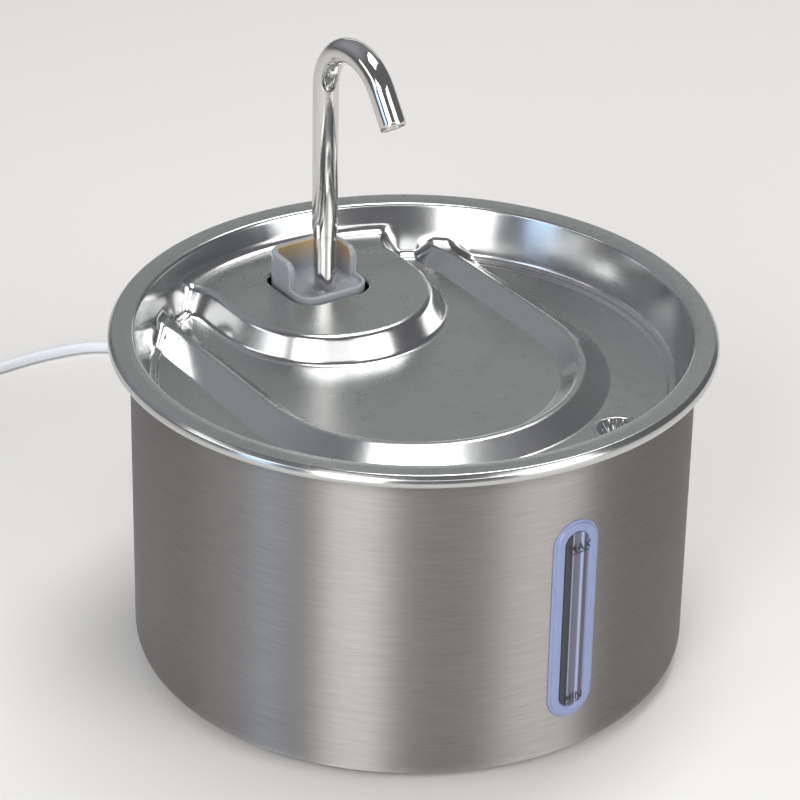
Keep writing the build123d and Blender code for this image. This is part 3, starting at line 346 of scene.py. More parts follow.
def clear_plastic():
    """Clear moulded plastic."""
    material, tree, shader = new_material("clear_plastic")
    haze = stretched_noise(tree, (300.0, 300.0, 60.0), 2.0)
    tree.links.new(blend_colours(tree, haze, "#c9cbe0", "#d4d6e6"), shader.inputs["Base Color"])
    shader.inputs["Roughness"].default_value = 0.03
    shader.inputs["IOR"].default_value = 1.49
    shader.inputs["Transmission Weight"].default_value = 0.86
    return material


WINDOW_SLOT_W = 8.7
# Painted light and shade across the slot, standing in for upright facets: a painted shaded side, a
# painted glint on an edge, two facets in painted light, and a painted shaded edge.
LENS_PAINTED_LIGHT = [(0.0, "#3b4048"), (0.27, "#2c3038"), (0.31, "#a7abbb"), (0.36, "#67677c"),
                (0.62, "#6f7189"), (0.68, "#b3c0e4"), (0.76, "#a4aed0"), (0.80, "#544d60"),
                (0.93, "#5f5b70"), (1.0, "#8f9bc0")]


def lens_painted_light():
    """Clear plastic whose upright facets are painted as stripes of shade and glints across the
    window.
    """
    material, tree, shader = new_material("lens_painted_light")
    place = add(tree, "ShaderNodeTexCoord")
    parts = add(tree, "ShaderNodeSeparateXYZ", {"Vector": place.outputs["Object"]})
    half = WINDOW_SLOT_W / 2 * MM
    across = ranged(tree, parts.outputs["X"], -half, half, 0.0, 1.0)
    ramp = add(tree, "ShaderNodeValToRGB", {"Fac": across})
    stops = ramp.color_ramp.elements
    stops[0].color = colour(LENS_PAINTED_LIGHT[0][1])
    # The last stop is moved in a little, which keeps the order of the stops that follow.
    stops[1].position = 0.99
    stops[1].color = colour(LENS_PAINTED_LIGHT[-1][1])
    for where, code in LENS_PAINTED_LIGHT[1:-1]:
        stops.new(where).color = colour(code)
    tree.links.new(ramp.outputs["Color"], shader.inputs["Base Color"])
    shader.inputs["Roughness"].default_value = 0.08
    shader.inputs["IOR"].default_value = 1.49
    shader.inputs["Transmission Weight"].default_value = 0.25
    return material


def moulded(name, low, high, rough, ior=1.5, grain_mm=0.5, depth=0.00001):
    """Moulded plastic or rubber with a fine grain."""
    material, tree, shader = new_material(name)
    scale = 1 / (grain_mm * MM)
    grain = stretched_noise(tree, (scale, scale, scale), 3.0)
    tree.links.new(blend_colours(tree, grain, low, high), shader.inputs["Base Color"])
    tree.links.new(ranged(tree, grain, 0.2, 0.8, rough - 0.04, rough + 0.04),
                   shader.inputs["Roughness"])
    shader.inputs["IOR"].default_value = ior
    bump(tree, shader, grain, depth, 0.5)
    return material


def metal(name, low, high, rough, grain_mm=0.3):
    """Plain metal with a fine grain."""
    material, tree, shader = new_material(name)
    scale = 1 / (grain_mm * MM)
    grain = stretched_noise(tree, (scale, scale, scale), 3.0)
    tree.links.new(blend_colours(tree, grain, low, high), shader.inputs["Base Color"])
    tree.links.new(ranged(tree, grain, 0.2, 0.8, rough - 0.05, rough + 0.05),
                   shader.inputs["Roughness"])
    shader.inputs["Metallic"].default_value = 1.0
    bump(tree, shader, grain, 0.00001, 0.4)
    return material


def dress_all(materials):
    """Gives each CAD node the material of its slot in the record."""
    for part in frame["record"]["subparts"]:
        node = frame["nodes"][part["node"]]
        node.data.materials.clear()
        node.data.materials.append(materials[part["material_slot"]])


MATERIALS = {
    # Stainless steel 304: brushed wall, pressed satin sheet, drawn and polished tube.
    "brushed_steel": brushed_steel(),
    "pressed_steel": pressed_steel(),
    "bright_steel": bright_steel(),
    # Moulded silicone, cloudy with a soft sheen, and clear moulded acrylic.
    "milky_silicone": silicone("milky_silicone", "#8f929c", "#9b9ea8", 0.3, (0.006, 0.004, 0.002)),
    "clear_plastic": clear_plastic(),
    # Moulded rubber: matt black for feet, grommet and ties, pale and smooth for the cups.
    "pad_rubber": moulded("pad_rubber", "#2a2a2b", "#343435", 0.6),
    "tie_rubber": moulded("tie_rubber", "#2c2c2e", "#38383a", 0.5),
    "cup_rubber": moulded("cup_rubber", "#cdd3d8", "#d8dde1", 0.3, 1.41),
    # White ABS with a fine moulded grain, and the lead's smooth PVC jacket.
    "clamp_plastic": moulded("clamp_plastic", "#dcdee2", "#e6e8ea", 0.4),
    "case_plastic": moulded("case_plastic", "#e2e4e6", "#ebedee", 0.42),
    "impeller_plastic": moulded("impeller_plastic", "#dadad7", "#e4e4e1", 0.4),
    "lead_jacket": moulded("lead_jacket", "#dfe3ea", "#e8ebf1", 0.35, 1.5, 1.5),
    "plug_grip": moulded("plug_grip", "#dcdfe5", "#e6e9ee", 0.42),
    # Nickel-plated shell with a bright stamped face, round a white nylon tongue.
    "plated_shell": metal("plated_shell", "#c9c9c8", "#d4d4d3", 0.16),
    "contact_plastic": moulded("contact_plastic", "#e6e6e4", "#eeeeec", 0.5),
    # The pump: black ABS, steel screws, laminated core, enamelled copper, board and ceramic.
    "pump_plastic": moulded("pump_plastic", "#232527", "#2c2e30", 0.45),
    "screw_steel": metal("screw_steel", "#b4b3b0", "#c2c1be", 0.3),
    "core_steel": metal("core_steel", "#8a8a8c", "#98989a", 0.45),
    "winding": metal("winding", "#a4541f", "#c06a2c", 0.3, 0.2),
    "board": moulded("board", "#123f22", "#17502b", 0.4),
    "ceramic": moulded("ceramic", "#ece9e4", "#f2f0ec", 0.25, 1.6),
    "magnet": metal("magnet", "#4c4c4f", "#5a5a5d", 0.5),
    # The filter: cotton wadding with soft lumps, and granules of activated carbon.
    "cotton": moulded("cotton", "#e4e4e0", "#f0f0ec", 0.95, 1.5, 1.2, 0.0004),
    "carbon": moulded("carbon", "#0c0c0c", "#2a2a2a", 0.7, 1.5, 1.6, 0.0006),
}
# Painted warm light: upright faces inside the seat, above its middle, turn amber by the way they
# face.
inside_painted_warm_light(MATERIALS["milky_silicone"], [v * MM for v in SEAT_MIDDLE], "#9699a0", "#b29a72")
dress_all(MATERIALS)
# The seal's blue-lilac is partly the silicone's own colour and partly a painted reflection of the
# blue sky.
seal_blue_with_painted_sky = silicone("seal_blue_with_painted_sky", "#828db0", "#8e99bc", 0.1)
# The lens gets stripes of painted shade and glints.
frame["nodes"]["window_lens"].data.materials[0] = lens_painted_light()
lead.data.materials.append(MATERIALS["lead_jacket"])

# %% [markdown]
# ## Building surfaces
# Round surfaces are grids: rings of points that go round an axis, joined by quads.
# %%
WELD = 1e-6


def filleted(points, radii, fineness=6):
    """A polyline in (r, z) with a rounded corner at each inner point, as an array of points."""
    line = [np.array(points[0], float)]
    for i in range(1, len(points) - 1):
        corner = np.array(points[i], float)
        back = np.array(points[i - 1], float) - corner
        ahead = np.array(points[i + 1], float) - corner
        back /= np.linalg.norm(back)
        ahead /= np.linalg.norm(ahead)
        half = math.acos(np.clip(back @ ahead, -1, 1)) / 2
        radius = radii[i - 1]
        if radius <= 0 or half > math.radians(89):
            line.append(corner)
            continue
        middle = corner + (back + ahead) / np.linalg.norm(back + ahead) * radius / math.sin(half)
        start = corner + back * radius / math.tan(half) - middle
        end = corner + ahead * radius / math.tan(half) - middle
        sweep = math.pi - 2 * half
        steps = max(3, int(sweep * fineness))
        for j in range(steps + 1):
            t = j / steps
            a = math.sin((1 - t) * sweep) / math.sin(sweep)
            b = math.sin(t * sweep) / math.sin(sweep)
            line.append(middle + a * start + b * end)
    line.append(np.array(points[-1], float))
    return np.array(line)


def resampled(line, spacing):
    """The same line with no stretch longer than spacing."""
    out = [line[0]]
    for a, b in zip(line, line[1:]):
        count = max(1, math.ceil(np.linalg.norm(b - a) / spacing))
        out += [a + (b - a) * k / count for k in range(1, count + 1)]
    return np.array(out)


def add_grid(name, points, slot, body, flip=False, drop=None):
    """A mesh from points[ring, step] in millimetres; drop marks the quads to leave out."""
    rings, steps = points.shape[:2]
    index = np.arange(rings * steps).reshape(rings, steps)
    ahead = np.roll(index, -1, axis=1)
    quads = np.stack([index[:-1], ahead[:-1], ahead[1:], index[1:]], axis=-1)
    if flip:
        quads = quads[..., ::-1]
    if drop is not None:
        quads = quads[~drop]
    quads = quads.reshape(-1, 4)
    mesh = bpy.data.meshes.new(name)
    mesh.from_pydata((points.reshape(-1, 3) * MM).tolist(), [], quads.tolist())
    tidy = bmesh.new()
    tidy.from_mesh(mesh)
    bmesh.ops.remove_doubles(tidy, verts=tidy.verts, dist=WELD)
    loose = [v for v in tidy.verts if not v.link_faces]
    bmesh.ops.delete(tidy, geom=loose, context="VERTS")
    tidy.to_mesh(mesh)
    tidy.free()
    mesh.polygons.foreach_set("use_smooth", [True] * len(mesh.polygons))
    mesh.materials.append(MATERIALS[slot])
    piece = bpy.data.objects.new(name, mesh)
    bpy.context.scene.collection.objects.link(piece)
    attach(piece, body)
    return piece


def turned(line, steps):
    """Points[ring, step] of a line in (r, z) turned round the Z axis."""
    angle = np.linspace(0, 2 * np.pi, steps, endpoint=False)
    r = line[:, 0][:, None]
    z = np.repeat(line[:, 1][:, None], steps, axis=1)
    return np.stack([r * np.cos(angle), r * np.sin(angle), z], axis=-1)


# %% [markdown]
# ## Lid tray
# The tray is one sheet. Its height over the plan is the turned tray profile, raised to the
# U-shaped ridge and to the plateau, and it turns down at the seat's hole. The rolled rim goes
# on from the flange, and the fluted drain is a patch of its own.
# %%
SHEET = 0.7
lid_low, lid_high = [[v / MM for v in corner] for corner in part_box("lid_tray")]
RIM_R = lid_high[0]
RIM_TOP = lid_high[2]
RIM_SHOULDER_R = RIM_R - 1.6
RIM_SHOULDER_EDGE = 0.8
SKIRT_ROUND_W = 0.45
SKIRT_ROUND_H = 1.3
SKIRT_H = 4.3
SKIRT_BULGE_H = 2.9
SKIRT_TUCK = 0.6
SKIRT_TURN_IN = 2.2
SKIRT_EDGE_R = 0.9
SKIRT_FILLETS = (1.2, 1.5)
FLANGE_FILLET = 1.2
BOWL_R = RIM_R - 7.2
FLANGE_IN_R = BOWL_R - 1.4
FLANGE_DIP = 0.3
FLOOR_Z = RIM_TOP - 18.0
FLOOR_R = FLANGE_IN_R - 4.7
LEDGE_W = 3.0
LEDGE_H = 0.8
LEDGE_FILLETS = (1.2, 1.0)
WALL_FOOT_R = 2.0
WALL_LIP_R = 1.5
FLANGE_DIP_W = 2.8
PLATEAU_Y = RIM_R - 47.1
PLATEAU_TOP_R = 34.5
PLATEAU_FOOT_R = 39.7
PLATEAU_H = 8.6
PLATEAU_SIDE_Y = RIM_R - 33.0
PLATEAU_FILLETS = (2.8, 3.0)
FLARE_R = 11.0
RIDGE_R = FLOOR_R - 31.0
RIDGE_IN_W = 6.5
RIDGE_OUT_W = 9.6
RIDGE_TAPER = 2.0
RIDGE_TOP_W = 1.0
RIDGE_BULB = 1.6
RIDGE_BULB_L = 12.0
RIDGE_H = 5.0
RIDGE_FILLETS = (1.6, 2.4)
RIDGE_END_Y = FLOOR_R - 19.5
RIDGE_WALL_R = 4.5
PLATEAU_WALL_R = 4.5
DRAIN_RING_R = FLOOR_R - 11.1
DRAIN_ANGLE = -62.0
DRAIN = (DRAIN_RING_R * math.cos(math.radians(DRAIN_ANGLE)),
         DRAIN_RING_R * math.sin(math.radians(DRAIN_ANGLE)))
DRAIN_R = 7.5
DRAIN_HOLE_R = 3.5
DRAIN_DEPTH = 3.5
DRAIN_EDGE_R = 9.0
DRAIN_FLUTES = 14
DRAIN_FLUTE_H = 0.3
DRAIN_CURVE = 1.3
DRAIN_LIP_R = DRAIN_R + 0.2
DRAIN_LIP_W = 0.7
DRAIN_LIP_H = 0.35
DRAIN_RINGS = 30
DRAIN_STEPS = 168
DRAIN_LAP = 0.15
DRAIN_LAP_DROP = 0.03
SEAT_W = 26.6
SEAT_FRONT = RIM_R - 54.2
SEAT_BACK = RIM_R - 28.2
SEAT_CORNER_R = 6.5
SEAT_HOLE_GAP = 1.2
HOLE_EDGE_R = 1.2
LID_STEPS = 960
LID_RING = 0.5
LID_MIDDLE_R = 50.0
UNDER_COARSER = 3
SHOULDER_CLEAR = 1.5
SLOPE_STEP = 0.12
EDGE_CLEAR = (0.15, 0.2)
FINE = 40


def tray_line(fineness=6):
    """The tray's upper line in (r, z), from the middle out to the rim's turned-in edge."""
    tuck_r = RIM_R - SKIRT_TUCK
    return filleted(
        [(10.0, FLOOR_Z), (FLOOR_R - LEDGE_W, FLOOR_Z),
         (FLOOR_R - LEDGE_W + LEDGE_H, FLOOR_Z + LEDGE_H), (FLOOR_R, FLOOR_Z + LEDGE_H),
         (FLANGE_IN_R, RIM_TOP - FLANGE_DIP), (FLANGE_IN_R + FLANGE_DIP_W, RIM_TOP),
         (RIM_SHOULDER_R, RIM_TOP), (RIM_R - SKIRT_ROUND_W, RIM_TOP - SKIRT_ROUND_H),
         (RIM_R, RIM_TOP - SKIRT_BULGE_H), (tuck_r, RIM_TOP - SKIRT_H),
         (tuck_r - SKIRT_TURN_IN, RIM_TOP - SKIRT_H)],
        [*LEDGE_FILLETS, WALL_FOOT_R, WALL_LIP_R, FLANGE_FILLET, RIM_SHOULDER_EDGE,
         *SKIRT_FILLETS, SKIRT_EDGE_R],
        fineness,
    )


FIELD = tray_line(FINE)
FIELD = FIELD[:np.argmax(FIELD[:, 0] > RIM_SHOULDER_R - 0.1)]


def wall_line(height, foot_r):
    """The wall's line above a raised floor, in (r, height over the floor), with its own foot."""
    top = RIM_TOP - FLOOR_Z
    run = (height - LEDGE_H) / (top - FLANGE_DIP - LEDGE_H)
    line = filleted([(10.0, height), (FLOOR_R + run * (FLANGE_IN_R - FLOOR_R), height),
                     (FLANGE_IN_R, top - FLANGE_DIP), (FLANGE_IN_R + FLANGE_DIP_W, top),
                     (RIM_SHOULDER_R, top)], [foot_r, WALL_LIP_R, FLANGE_FILLET], FINE)
    return line


RIDGE_WALL = wall_line(RIDGE_H, RIDGE_WALL_R)
PLATEAU_WALL = wall_line(PLATEAU_H, PLATEAU_WALL_R)


def raised_by(low, share, away, line):
    """Heights lifted to a raised floor and its wall as the share goes from 0 to 1."""
    high = np.interp(away, line[:, 0], line[:, 1])
    return low + np.maximum(high - low, 0) * share


def side_of_plateau(x, y):
    """How far a point lies inside the plateau's foot, in plan."""
    out = np.abs(x)
    front = PLATEAU_FOOT_R - np.hypot(out, np.minimum(y - PLATEAU_Y, 0))
    centre_x = PLATEAU_FOOT_R + FLARE_R
    flare = np.hypot(centre_x - out, PLATEAU_SIDE_Y - y) - FLARE_R
    inside = np.where((y > PLATEAU_SIDE_Y) & (out < centre_x), flare, front)
    beyond = (y > PLATEAU_SIDE_Y + FLARE_R) | ((y > PLATEAU_SIDE_Y) & (out < PLATEAU_FOOT_R))
    return np.where(beyond, np.maximum(inside, front), inside)


PLATEAU_RUN = PLATEAU_FOOT_R - PLATEAU_TOP_R
PLATEAU_LINE = filleted([(-8, 0), (0, 0), (PLATEAU_RUN, PLATEAU_H), (PLATEAU_RUN + 12, PLATEAU_H)],
                        PLATEAU_FILLETS, FINE)
RIDGE_LINES = [filleted([(-6, 0), (0, 0), (width - RIDGE_TOP_W, RIDGE_H), (width + 6, RIDGE_H)],
                        RIDGE_FILLETS, FINE) for width in (RIDGE_IN_W, RIDGE_OUT_W)]


def plateau_height(x, y):
    """Height of the plateau over the floor."""
    return np.interp(side_of_plateau(x, y), PLATEAU_LINE[:, 0], PLATEAU_LINE[:, 1])


def ridge_height(x, y):
    """Height of the U-shaped ridge over the floor: steeper inside, with round ends."""
    across = np.where(y < 0, np.hypot(x, y), np.abs(x)) - RIDGE_R
    off = np.hypot(across, np.maximum(y - RIDGE_END_Y, 0))
    swell = np.clip((y - RIDGE_END_Y) / RIDGE_BULB_L + 1, 0, 1)
    off = np.maximum(off - RIDGE_BULB * swell * swell * (3 - 2 * swell), 1e-6)
    outward = 0.5 + 0.5 * np.clip(across / off, -1, 1)
    taper = RIDGE_TAPER * np.clip(y / RIDGE_END_Y, 0, 1)
    inner, outer = RIDGE_LINES
    low = np.interp(RIDGE_IN_W - off, inner[:, 0], inner[:, 1])
    stretched = off * (1 + taper / (RIDGE_OUT_W - taper))
    high = np.interp(RIDGE_OUT_W - stretched, outer[:, 0], outer[:, 1])
    return low + (high - low) * outward


def outside_of_hole(x, y):
    """Distance of a point from the seat's hole in plan; negative inside it."""
    half_x = SEAT_W / 2 + SEAT_HOLE_GAP
    half_y = (SEAT_BACK - SEAT_FRONT) / 2 + SEAT_HOLE_GAP
    corner = SEAT_CORNER_R + SEAT_HOLE_GAP
    dx = np.abs(x) - (half_x - corner)
    dy = np.abs(y - (SEAT_FRONT + SEAT_BACK) / 2) - (half_y - corner)
    away = np.hypot(np.maximum(dx, 0), np.maximum(dy, 0))
    return away + np.minimum(np.maximum(dx, dy), 0) - corner


def from_drain(x, y):
    """Distance of a point from the drain's middle in plan."""
    return np.hypot(x - DRAIN[0], y - DRAIN[1])


def drain_fall(x, y):
    """How far the drain's fluted dish lies below the floor."""
    away = from_drain(x, y)
    angle = np.arctan2(y - DRAIN[1], x - DRAIN[0])
    slope = np.clip((DRAIN_R - away) / (DRAIN_R - DRAIN_HOLE_R), 0, 1)
    raised = DRAIN_LIP_H * np.exp(-((away - DRAIN_LIP_R) / DRAIN_LIP_W) ** 2)
    flutes = DRAIN_FLUTE_H * np.sin(DRAIN_FLUTES * angle) * np.sin(np.pi * slope)
    return DRAIN_DEPTH * slope ** DRAIN_CURVE + flutes - raised


def tray_height(x, y):
    """Height of the tray's upper surface over the plan, inside the rim's shoulder."""
    away = np.hypot(x, y)
    base = np.interp(away, FIELD[:, 0], FIELD[:, 1]) - FLOOR_Z
    walled = raised_by(base, ridge_height(x, y) / RIDGE_H, away, RIDGE_WALL)
    raised = raised_by(walled, plateau_height(x, y) / PLATEAU_H, away, PLATEAU_WALL)
    height = np.where(away < FLANGE_IN_R + 1, raised, base)
    lip = np.clip(HOLE_EDGE_R - np.maximum(outside_of_hole(x, y), 0), 0, HOLE_EDGE_R)
    turn = np.sqrt(np.maximum(HOLE_EDGE_R ** 2 - lip ** 2, 0))
    return FLOOR_Z + height - HOLE_EDGE_R + turn - drain_fall(x, y)


def field_normals(mesh):
    """Smooth normals: worked out from the height inside the shoulder, the mesh's own outside."""
    count = len(mesh.vertices)
    place = np.empty(count * 3)
    mesh.vertices.foreach_get("co", place)
    x, y, z = place.reshape(-1, 3).T / MM
    own = np.empty(count * 3)
    mesh.vertex_normals.foreach_get("vector", own)
    normals = own.reshape(-1, 3)
    step = SLOPE_STEP
    slope_x = (tray_height(x + step, y) - tray_height(x - step, y)) / (2 * step)
    slope_y = (tray_height(x, y + step) - tray_height(x, y - step)) / (2 * step)
    wanted = np.stack([-slope_x, -slope_y, np.ones(count)], axis=-1)
    wanted /= np.linalg.norm(wanted, axis=-1, keepdims=True)
    clear = np.hypot(x, y) < RIM_SHOULDER_R - SHOULDER_CLEAR
    clear &= outside_of_hole(x, y) > EDGE_CLEAR[0]
    clear &= from_drain(x, y) > DRAIN_HOLE_R + EDGE_CLEAR[1]
    normals[clear] = wanted[clear]
    mesh.normals_split_custom_set_from_vertices(normals.tolist())


def tray_points(steps, line):
    """Points of the tray's upper surface and of its rim."""
    points = turned(line, steps)
    inside = line[:, 0] < RIM_SHOULDER_R - SHOULDER_CLEAR
    inside &= np.arange(len(line)) < np.argmax(line[:, 0] > RIM_SHOULDER_R)
    points[inside, :, 2] = tray_height(points[inside, :, 0], points[inside, :, 1])
    return points


def snapped(points, distance, push):
    """Moves the points just inside an outline out on to it, and marks the quads inside it."""
    inside = distance < 0
    ring_in = inside[:-1] & inside[1:]
    drop = ring_in & np.roll(ring_in, -1, axis=1)
    moved = points.copy()
    moved[inside] = push(points[inside], distance[inside])
    return moved, drop


def push_from_hole(points, distance):
    """Moves points inside the seat's hole on to its edge."""
    step = 0.01
    x, y = points[:, 0], points[:, 1]
    slope_x = (outside_of_hole(x + step, y) - outside_of_hole(x - step, y)) / (2 * step)
    slope_y = (outside_of_hole(x, y + step) - outside_of_hole(x, y - step)) / (2 * step)
    out = points.copy()
    out[:, 0] -= slope_x * distance
    out[:, 1] -= slope_y * distance
    out[:, 2] = FLOOR_Z + PLATEAU_H - HOLE_EDGE_R
    return out


def push_from_drain(points, distance):
    """Moves points under the drain's patch on to its edge."""
    scale = (DRAIN_EDGE_R / np.maximum(DRAIN_EDGE_R + distance, 1e-6))[:, None]
    out = points.copy()
    out[:, :2] = np.array(DRAIN) + (points[:, :2] - DRAIN) * scale
    return out


def pierced(points):
    """The tray's points with both holes, and the quads to leave out."""
    hole = outside_of_hole(points[..., 0], points[..., 1])
    points, drop_seat = snapped(points, hole, push_from_hole)
    away = from_drain(points[..., 0], points[..., 1]) - DRAIN_EDGE_R
    points, drop_drain = snapped(points, away, push_from_drain)
    return points, drop_seat | drop_drain


def make_drain():
    """The fluted dish with its raised edge, and a short turned-down lip round the hole."""
    rings = np.linspace(DRAIN_EDGE_R, DRAIN_HOLE_R, DRAIN_RINGS)
    radii = np.concatenate([[DRAIN_EDGE_R + DRAIN_LAP], rings])
    angle = np.linspace(0, 2 * np.pi, DRAIN_STEPS, endpoint=False)
    x = DRAIN[0] + radii[:, None] * np.cos(angle)
    y = DRAIN[1] + radii[:, None] * np.sin(angle)
    points = np.stack([x, y, tray_height(x, y)], axis=-1)
    points[0, :, 2] -= DRAIN_LAP_DROP
    lip = points[-1].copy()
    lip[:, 2] -= SHEET
    points = np.concatenate([points, lip[None]])
    dish = add_grid("drain_dish", points, "pressed_steel", "lid_body")
    field_normals(dish.data)
    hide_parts("lid_tray")


def lid_stretches(line):
    """First and last ring, with a name, of the pieces that the sheet is made in."""
    foot = int(np.argmax(line[:, 0] > FLOOR_R))
    ends = [0, int(np.argmax(line[:, 0] > LID_MIDDLE_R)), foot, len(line) - 1]
    return list(zip(ends, ends[1:], ("lid_middle", "lid_channel", "lid_rim")))


def make_lid():
    """The upper sheet, with the under side as a second, coarser sheet below it."""
    line = resampled(tray_line(), LID_RING)
    line = np.vstack([[(0.01, FLOOR_Z), (5.0, FLOOR_Z)], line])
    points, drop = pierced(tray_points(LID_STEPS, line))
    for start, end, name in lid_stretches(line):
        lid = add_grid(name, points[start:end + 1], "pressed_steel", "lid_body", flip=True,
                       drop=drop[start:end])
        field_normals(lid.data)
        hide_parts("lid_tray")
    under = tray_points(LID_STEPS // UNDER_COARSER, line[::UNDER_COARSER])
    along = np.gradient(under, axis=0)
    around = (np.roll(under, -1, axis=1) - np.roll(under, 1, axis=1)) / 2
    normal = np.cross(along, around)
    normal /= np.linalg.norm(normal, axis=-1, keepdims=True) + 1e-9
    under = under - normal * SHEET
    under, drop = pierced(under)
    below = add_grid("lid_under", under, "pressed_steel", "lid_body", drop=drop)
    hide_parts("lid_tray")


make_lid()
make_drain()

# %% [markdown]
# ## Seat
# One soft moulding: a shallow tray, a C-shaped wall with rounded front corners, a dish round the
# spout's foot and a stem below. Each ring of points is the tray's outline, drawn in by a depth.
# %%
SEAT_WALL = 2.3
SEAT_WALL_TOP = RIM_TOP + 1.1
SEAT_WALL_FRONT = RIM_R - 44.2
SEAT_WALL_TOP_R = 3.2
SEAT_TOP = FLOOR_Z + PLATEAU_H + 0.2
SEAT_BASE_Z = SEAT_TOP - 2.6
SEAT_LIP_W = 1.4
SEAT_LIP_H = 1.3
SEAT_EDGE_R = 0.6
SEAT_BASE_R = 0.4
SEAT_INNER_R = 0.5
SEAT_BASE_IN = 3.0
SEAT_FLOOR_IN = 1.5
SEAT_AXIS_Y = RIM_R - 45.2
SEAT_DISH = ((7.2, 0.0), (6.4, 0.8), (3.76, 0.8), (3.76, 11.2))
SEAT_STEM_R = 8.0
SEAT_STEM_Z = 85.6
SEAT_BORE_R = 6.06
SEAT_BORE_TOP = 93.9
SEAT_NECK_R = 3.0
SEAT_SHELF_Z = 96.1
SEAT_SHARP = 50.0


def seat_outline():
    """Points round the seat's plan with the way inwards at each one."""
    half_x = SEAT_W / 2 - SEAT_CORNER_R
    half_y = (SEAT_BACK - SEAT_FRONT) / 2 - SEAT_CORNER_R
    middle_y = (SEAT_BACK + SEAT_FRONT) / 2
    points = []
    for quarter, (sx, sy) in enumerate(((1, 1), (-1, 1), (-1, -1), (1, -1))):
        for turn in np.radians(np.linspace(0, 90, 25) + 90 * quarter):
            way = np.array([math.cos(turn), math.sin(turn)])
            corner = np.array([sx * half_x, middle_y + sy * half_y])
            points.append((corner + SEAT_CORNER_R * way, -way))
        if quarter in (1, 3):
            side = -1 if quarter == 1 else 1
            levels = np.concatenate([[-0.02, 0.02], np.linspace(0.15, SEAT_WALL_TOP_R, 9)])
            levels = SEAT_WALL_FRONT + levels
            if quarter == 1:
                levels = levels[::-1]
            points += [(np.array([side * SEAT_W / 2, y]), np.array([-side, 0.0])) for y in levels]
    return points


def wall_top(y):
    """Height and thickness of the seat's wall or lip at a place along it."""
    along = y - SEAT_WALL_FRONT
    if along < 0:
        return SEAT_TOP + SEAT_LIP_H, SEAT_LIP_W
    short = max(SEAT_WALL_TOP_R - along, 0)
    rise = math.sqrt(SEAT_WALL_TOP_R ** 2 - short ** 2)
    return SEAT_WALL_TOP - SEAT_WALL_TOP_R + rise, SEAT_WALL


def seat_section(y):
    """Depth and height of the points from the under side over the wall to the floor."""
    top, thick = wall_top(y)
    return filleted([(SEAT_BASE_IN, SEAT_BASE_Z), (0, SEAT_BASE_Z), (0, top), (thick, top),
                     (thick, SEAT_TOP), (thick + SEAT_FLOOR_IN, SEAT_TOP)],
                    [SEAT_BASE_R, SEAT_EDGE_R, SEAT_EDGE_R, SEAT_INNER_R], 3)


def make_seat():
    """The seat as one grid; edges sharper than SEAT_SHARP degrees stay crisp."""
    columns = []
    for place, inwards in seat_outline():
        line = seat_section(place[1])
        column = [(*(place + inwards * depth), z) for depth, z in line]
        way = place - (0, SEAT_AXIS_Y)
        way /= np.linalg.norm(way)
        under = [(SEAT_NECK_R, SEAT_SHELF_Z), (SEAT_NECK_R, SEAT_BORE_TOP),
                 (SEAT_BORE_R, SEAT_BORE_TOP), (SEAT_BORE_R, SEAT_STEM_Z),
                 (SEAT_STEM_R, SEAT_STEM_Z), (SEAT_STEM_R, SEAT_BASE_Z)]
        column = [(way[0] * r, SEAT_AXIS_Y + way[1] * r, z) for r, z in under] + column
        column += [(way[0] * r, SEAT_AXIS_Y + way[1] * r, SEAT_TOP - fall)
                   for r, fall in SEAT_DISH]
        columns.append(column)
    points = np.array(columns).transpose(1, 0, 2)
    seat = add_grid("seat_skin", points, "milky_silicone", "seat_body")
    seat.data.set_sharp_from_angle(angle=math.radians(SEAT_SHARP))
    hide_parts("spout_seat")


make_seat()

# %% [markdown]
# ## Bowl
# The bowl is a turned sheet with a rolled bead, left open behind the window and at the lead.
# %%
BOWL_CORNER_R = 7.0
BOWL_Z0 = 1.2
BOWL_BEAD_R = 1.1
BOWL_BEAD_Z = RIM_TOP - FLANGE_DIP - SHEET - 0.3 - BOWL_BEAD_R
BOWL_STEPS = 360
BOWL_GAP = 1.6
BEAD_NECK = 1.2
BEAD_TURN = (-105, 180)
BEAD_STEPS = 20
CUT_DEPTH = 2.0
WINDOW_Z = 53.5
WINDOW_CUT_W = 13.4
WINDOW_CUT_H = 68.6
CORD_Z = 89.0
CORD_HOLE_R = 4.4


def bowl_line():
    """The sheet's line in (r, z): under the floor, up the wall, over the bead and down inside."""
    inner = BOWL_R - SHEET
    bead_r = inner + BOWL_BEAD_R
    outside = filleted([(0.01, BOWL_Z0), (BOWL_R, BOWL_Z0), (BOWL_R, BOWL_BEAD_Z - BEAD_NECK)],
                       [BOWL_CORNER_R])
    turn = np.radians(np.linspace(*BEAD_TURN, BEAD_STEPS))
    bead = np.stack([bead_r + BOWL_BEAD_R * np.cos(turn),
                     BOWL_BEAD_Z + BOWL_BEAD_R * np.sin(turn)], axis=-1)
    inside = filleted([(inner, BOWL_BEAD_Z - BEAD_NECK), (inner, BOWL_Z0 + SHEET),
                       (0.01, BOWL_Z0 + SHEET)], [BOWL_CORNER_R - SHEET])
    outside = resampled(outside, BOWL_GAP)
    inside = resampled(inside, BOWL_GAP)
    return np.vstack([outside[outside[:, 0] > 0], bead, inside])


def make_bowl():
    """The bowl's sheet with its two openings."""
    points = turned(bowl_line(), BOWL_STEPS)
    x, y, z = points[..., 0], points[..., 1], points[..., 2]
    straight = (WINDOW_CUT_H - WINDOW_CUT_W) / 2
    up = np.maximum(np.abs(z - WINDOW_Z) - straight, 0)
    in_window = (np.hypot(x, up) < WINDOW_CUT_W / 2) & (y < 0)
    at_cord = (np.hypot(x, z - CORD_Z) < CORD_HOLE_R) & (y > 0)
    cut = (in_window | at_cord) & (np.hypot(x, y) > BOWL_R - CUT_DEPTH)
    near = cut[:-1] & cut[1:]
    drop = near & np.roll(near, -1, axis=1)
    bowl = add_grid("bowl_sheet", points, "brushed_steel", "bowl_body", drop=drop)
    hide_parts("bowl")


make_bowl()

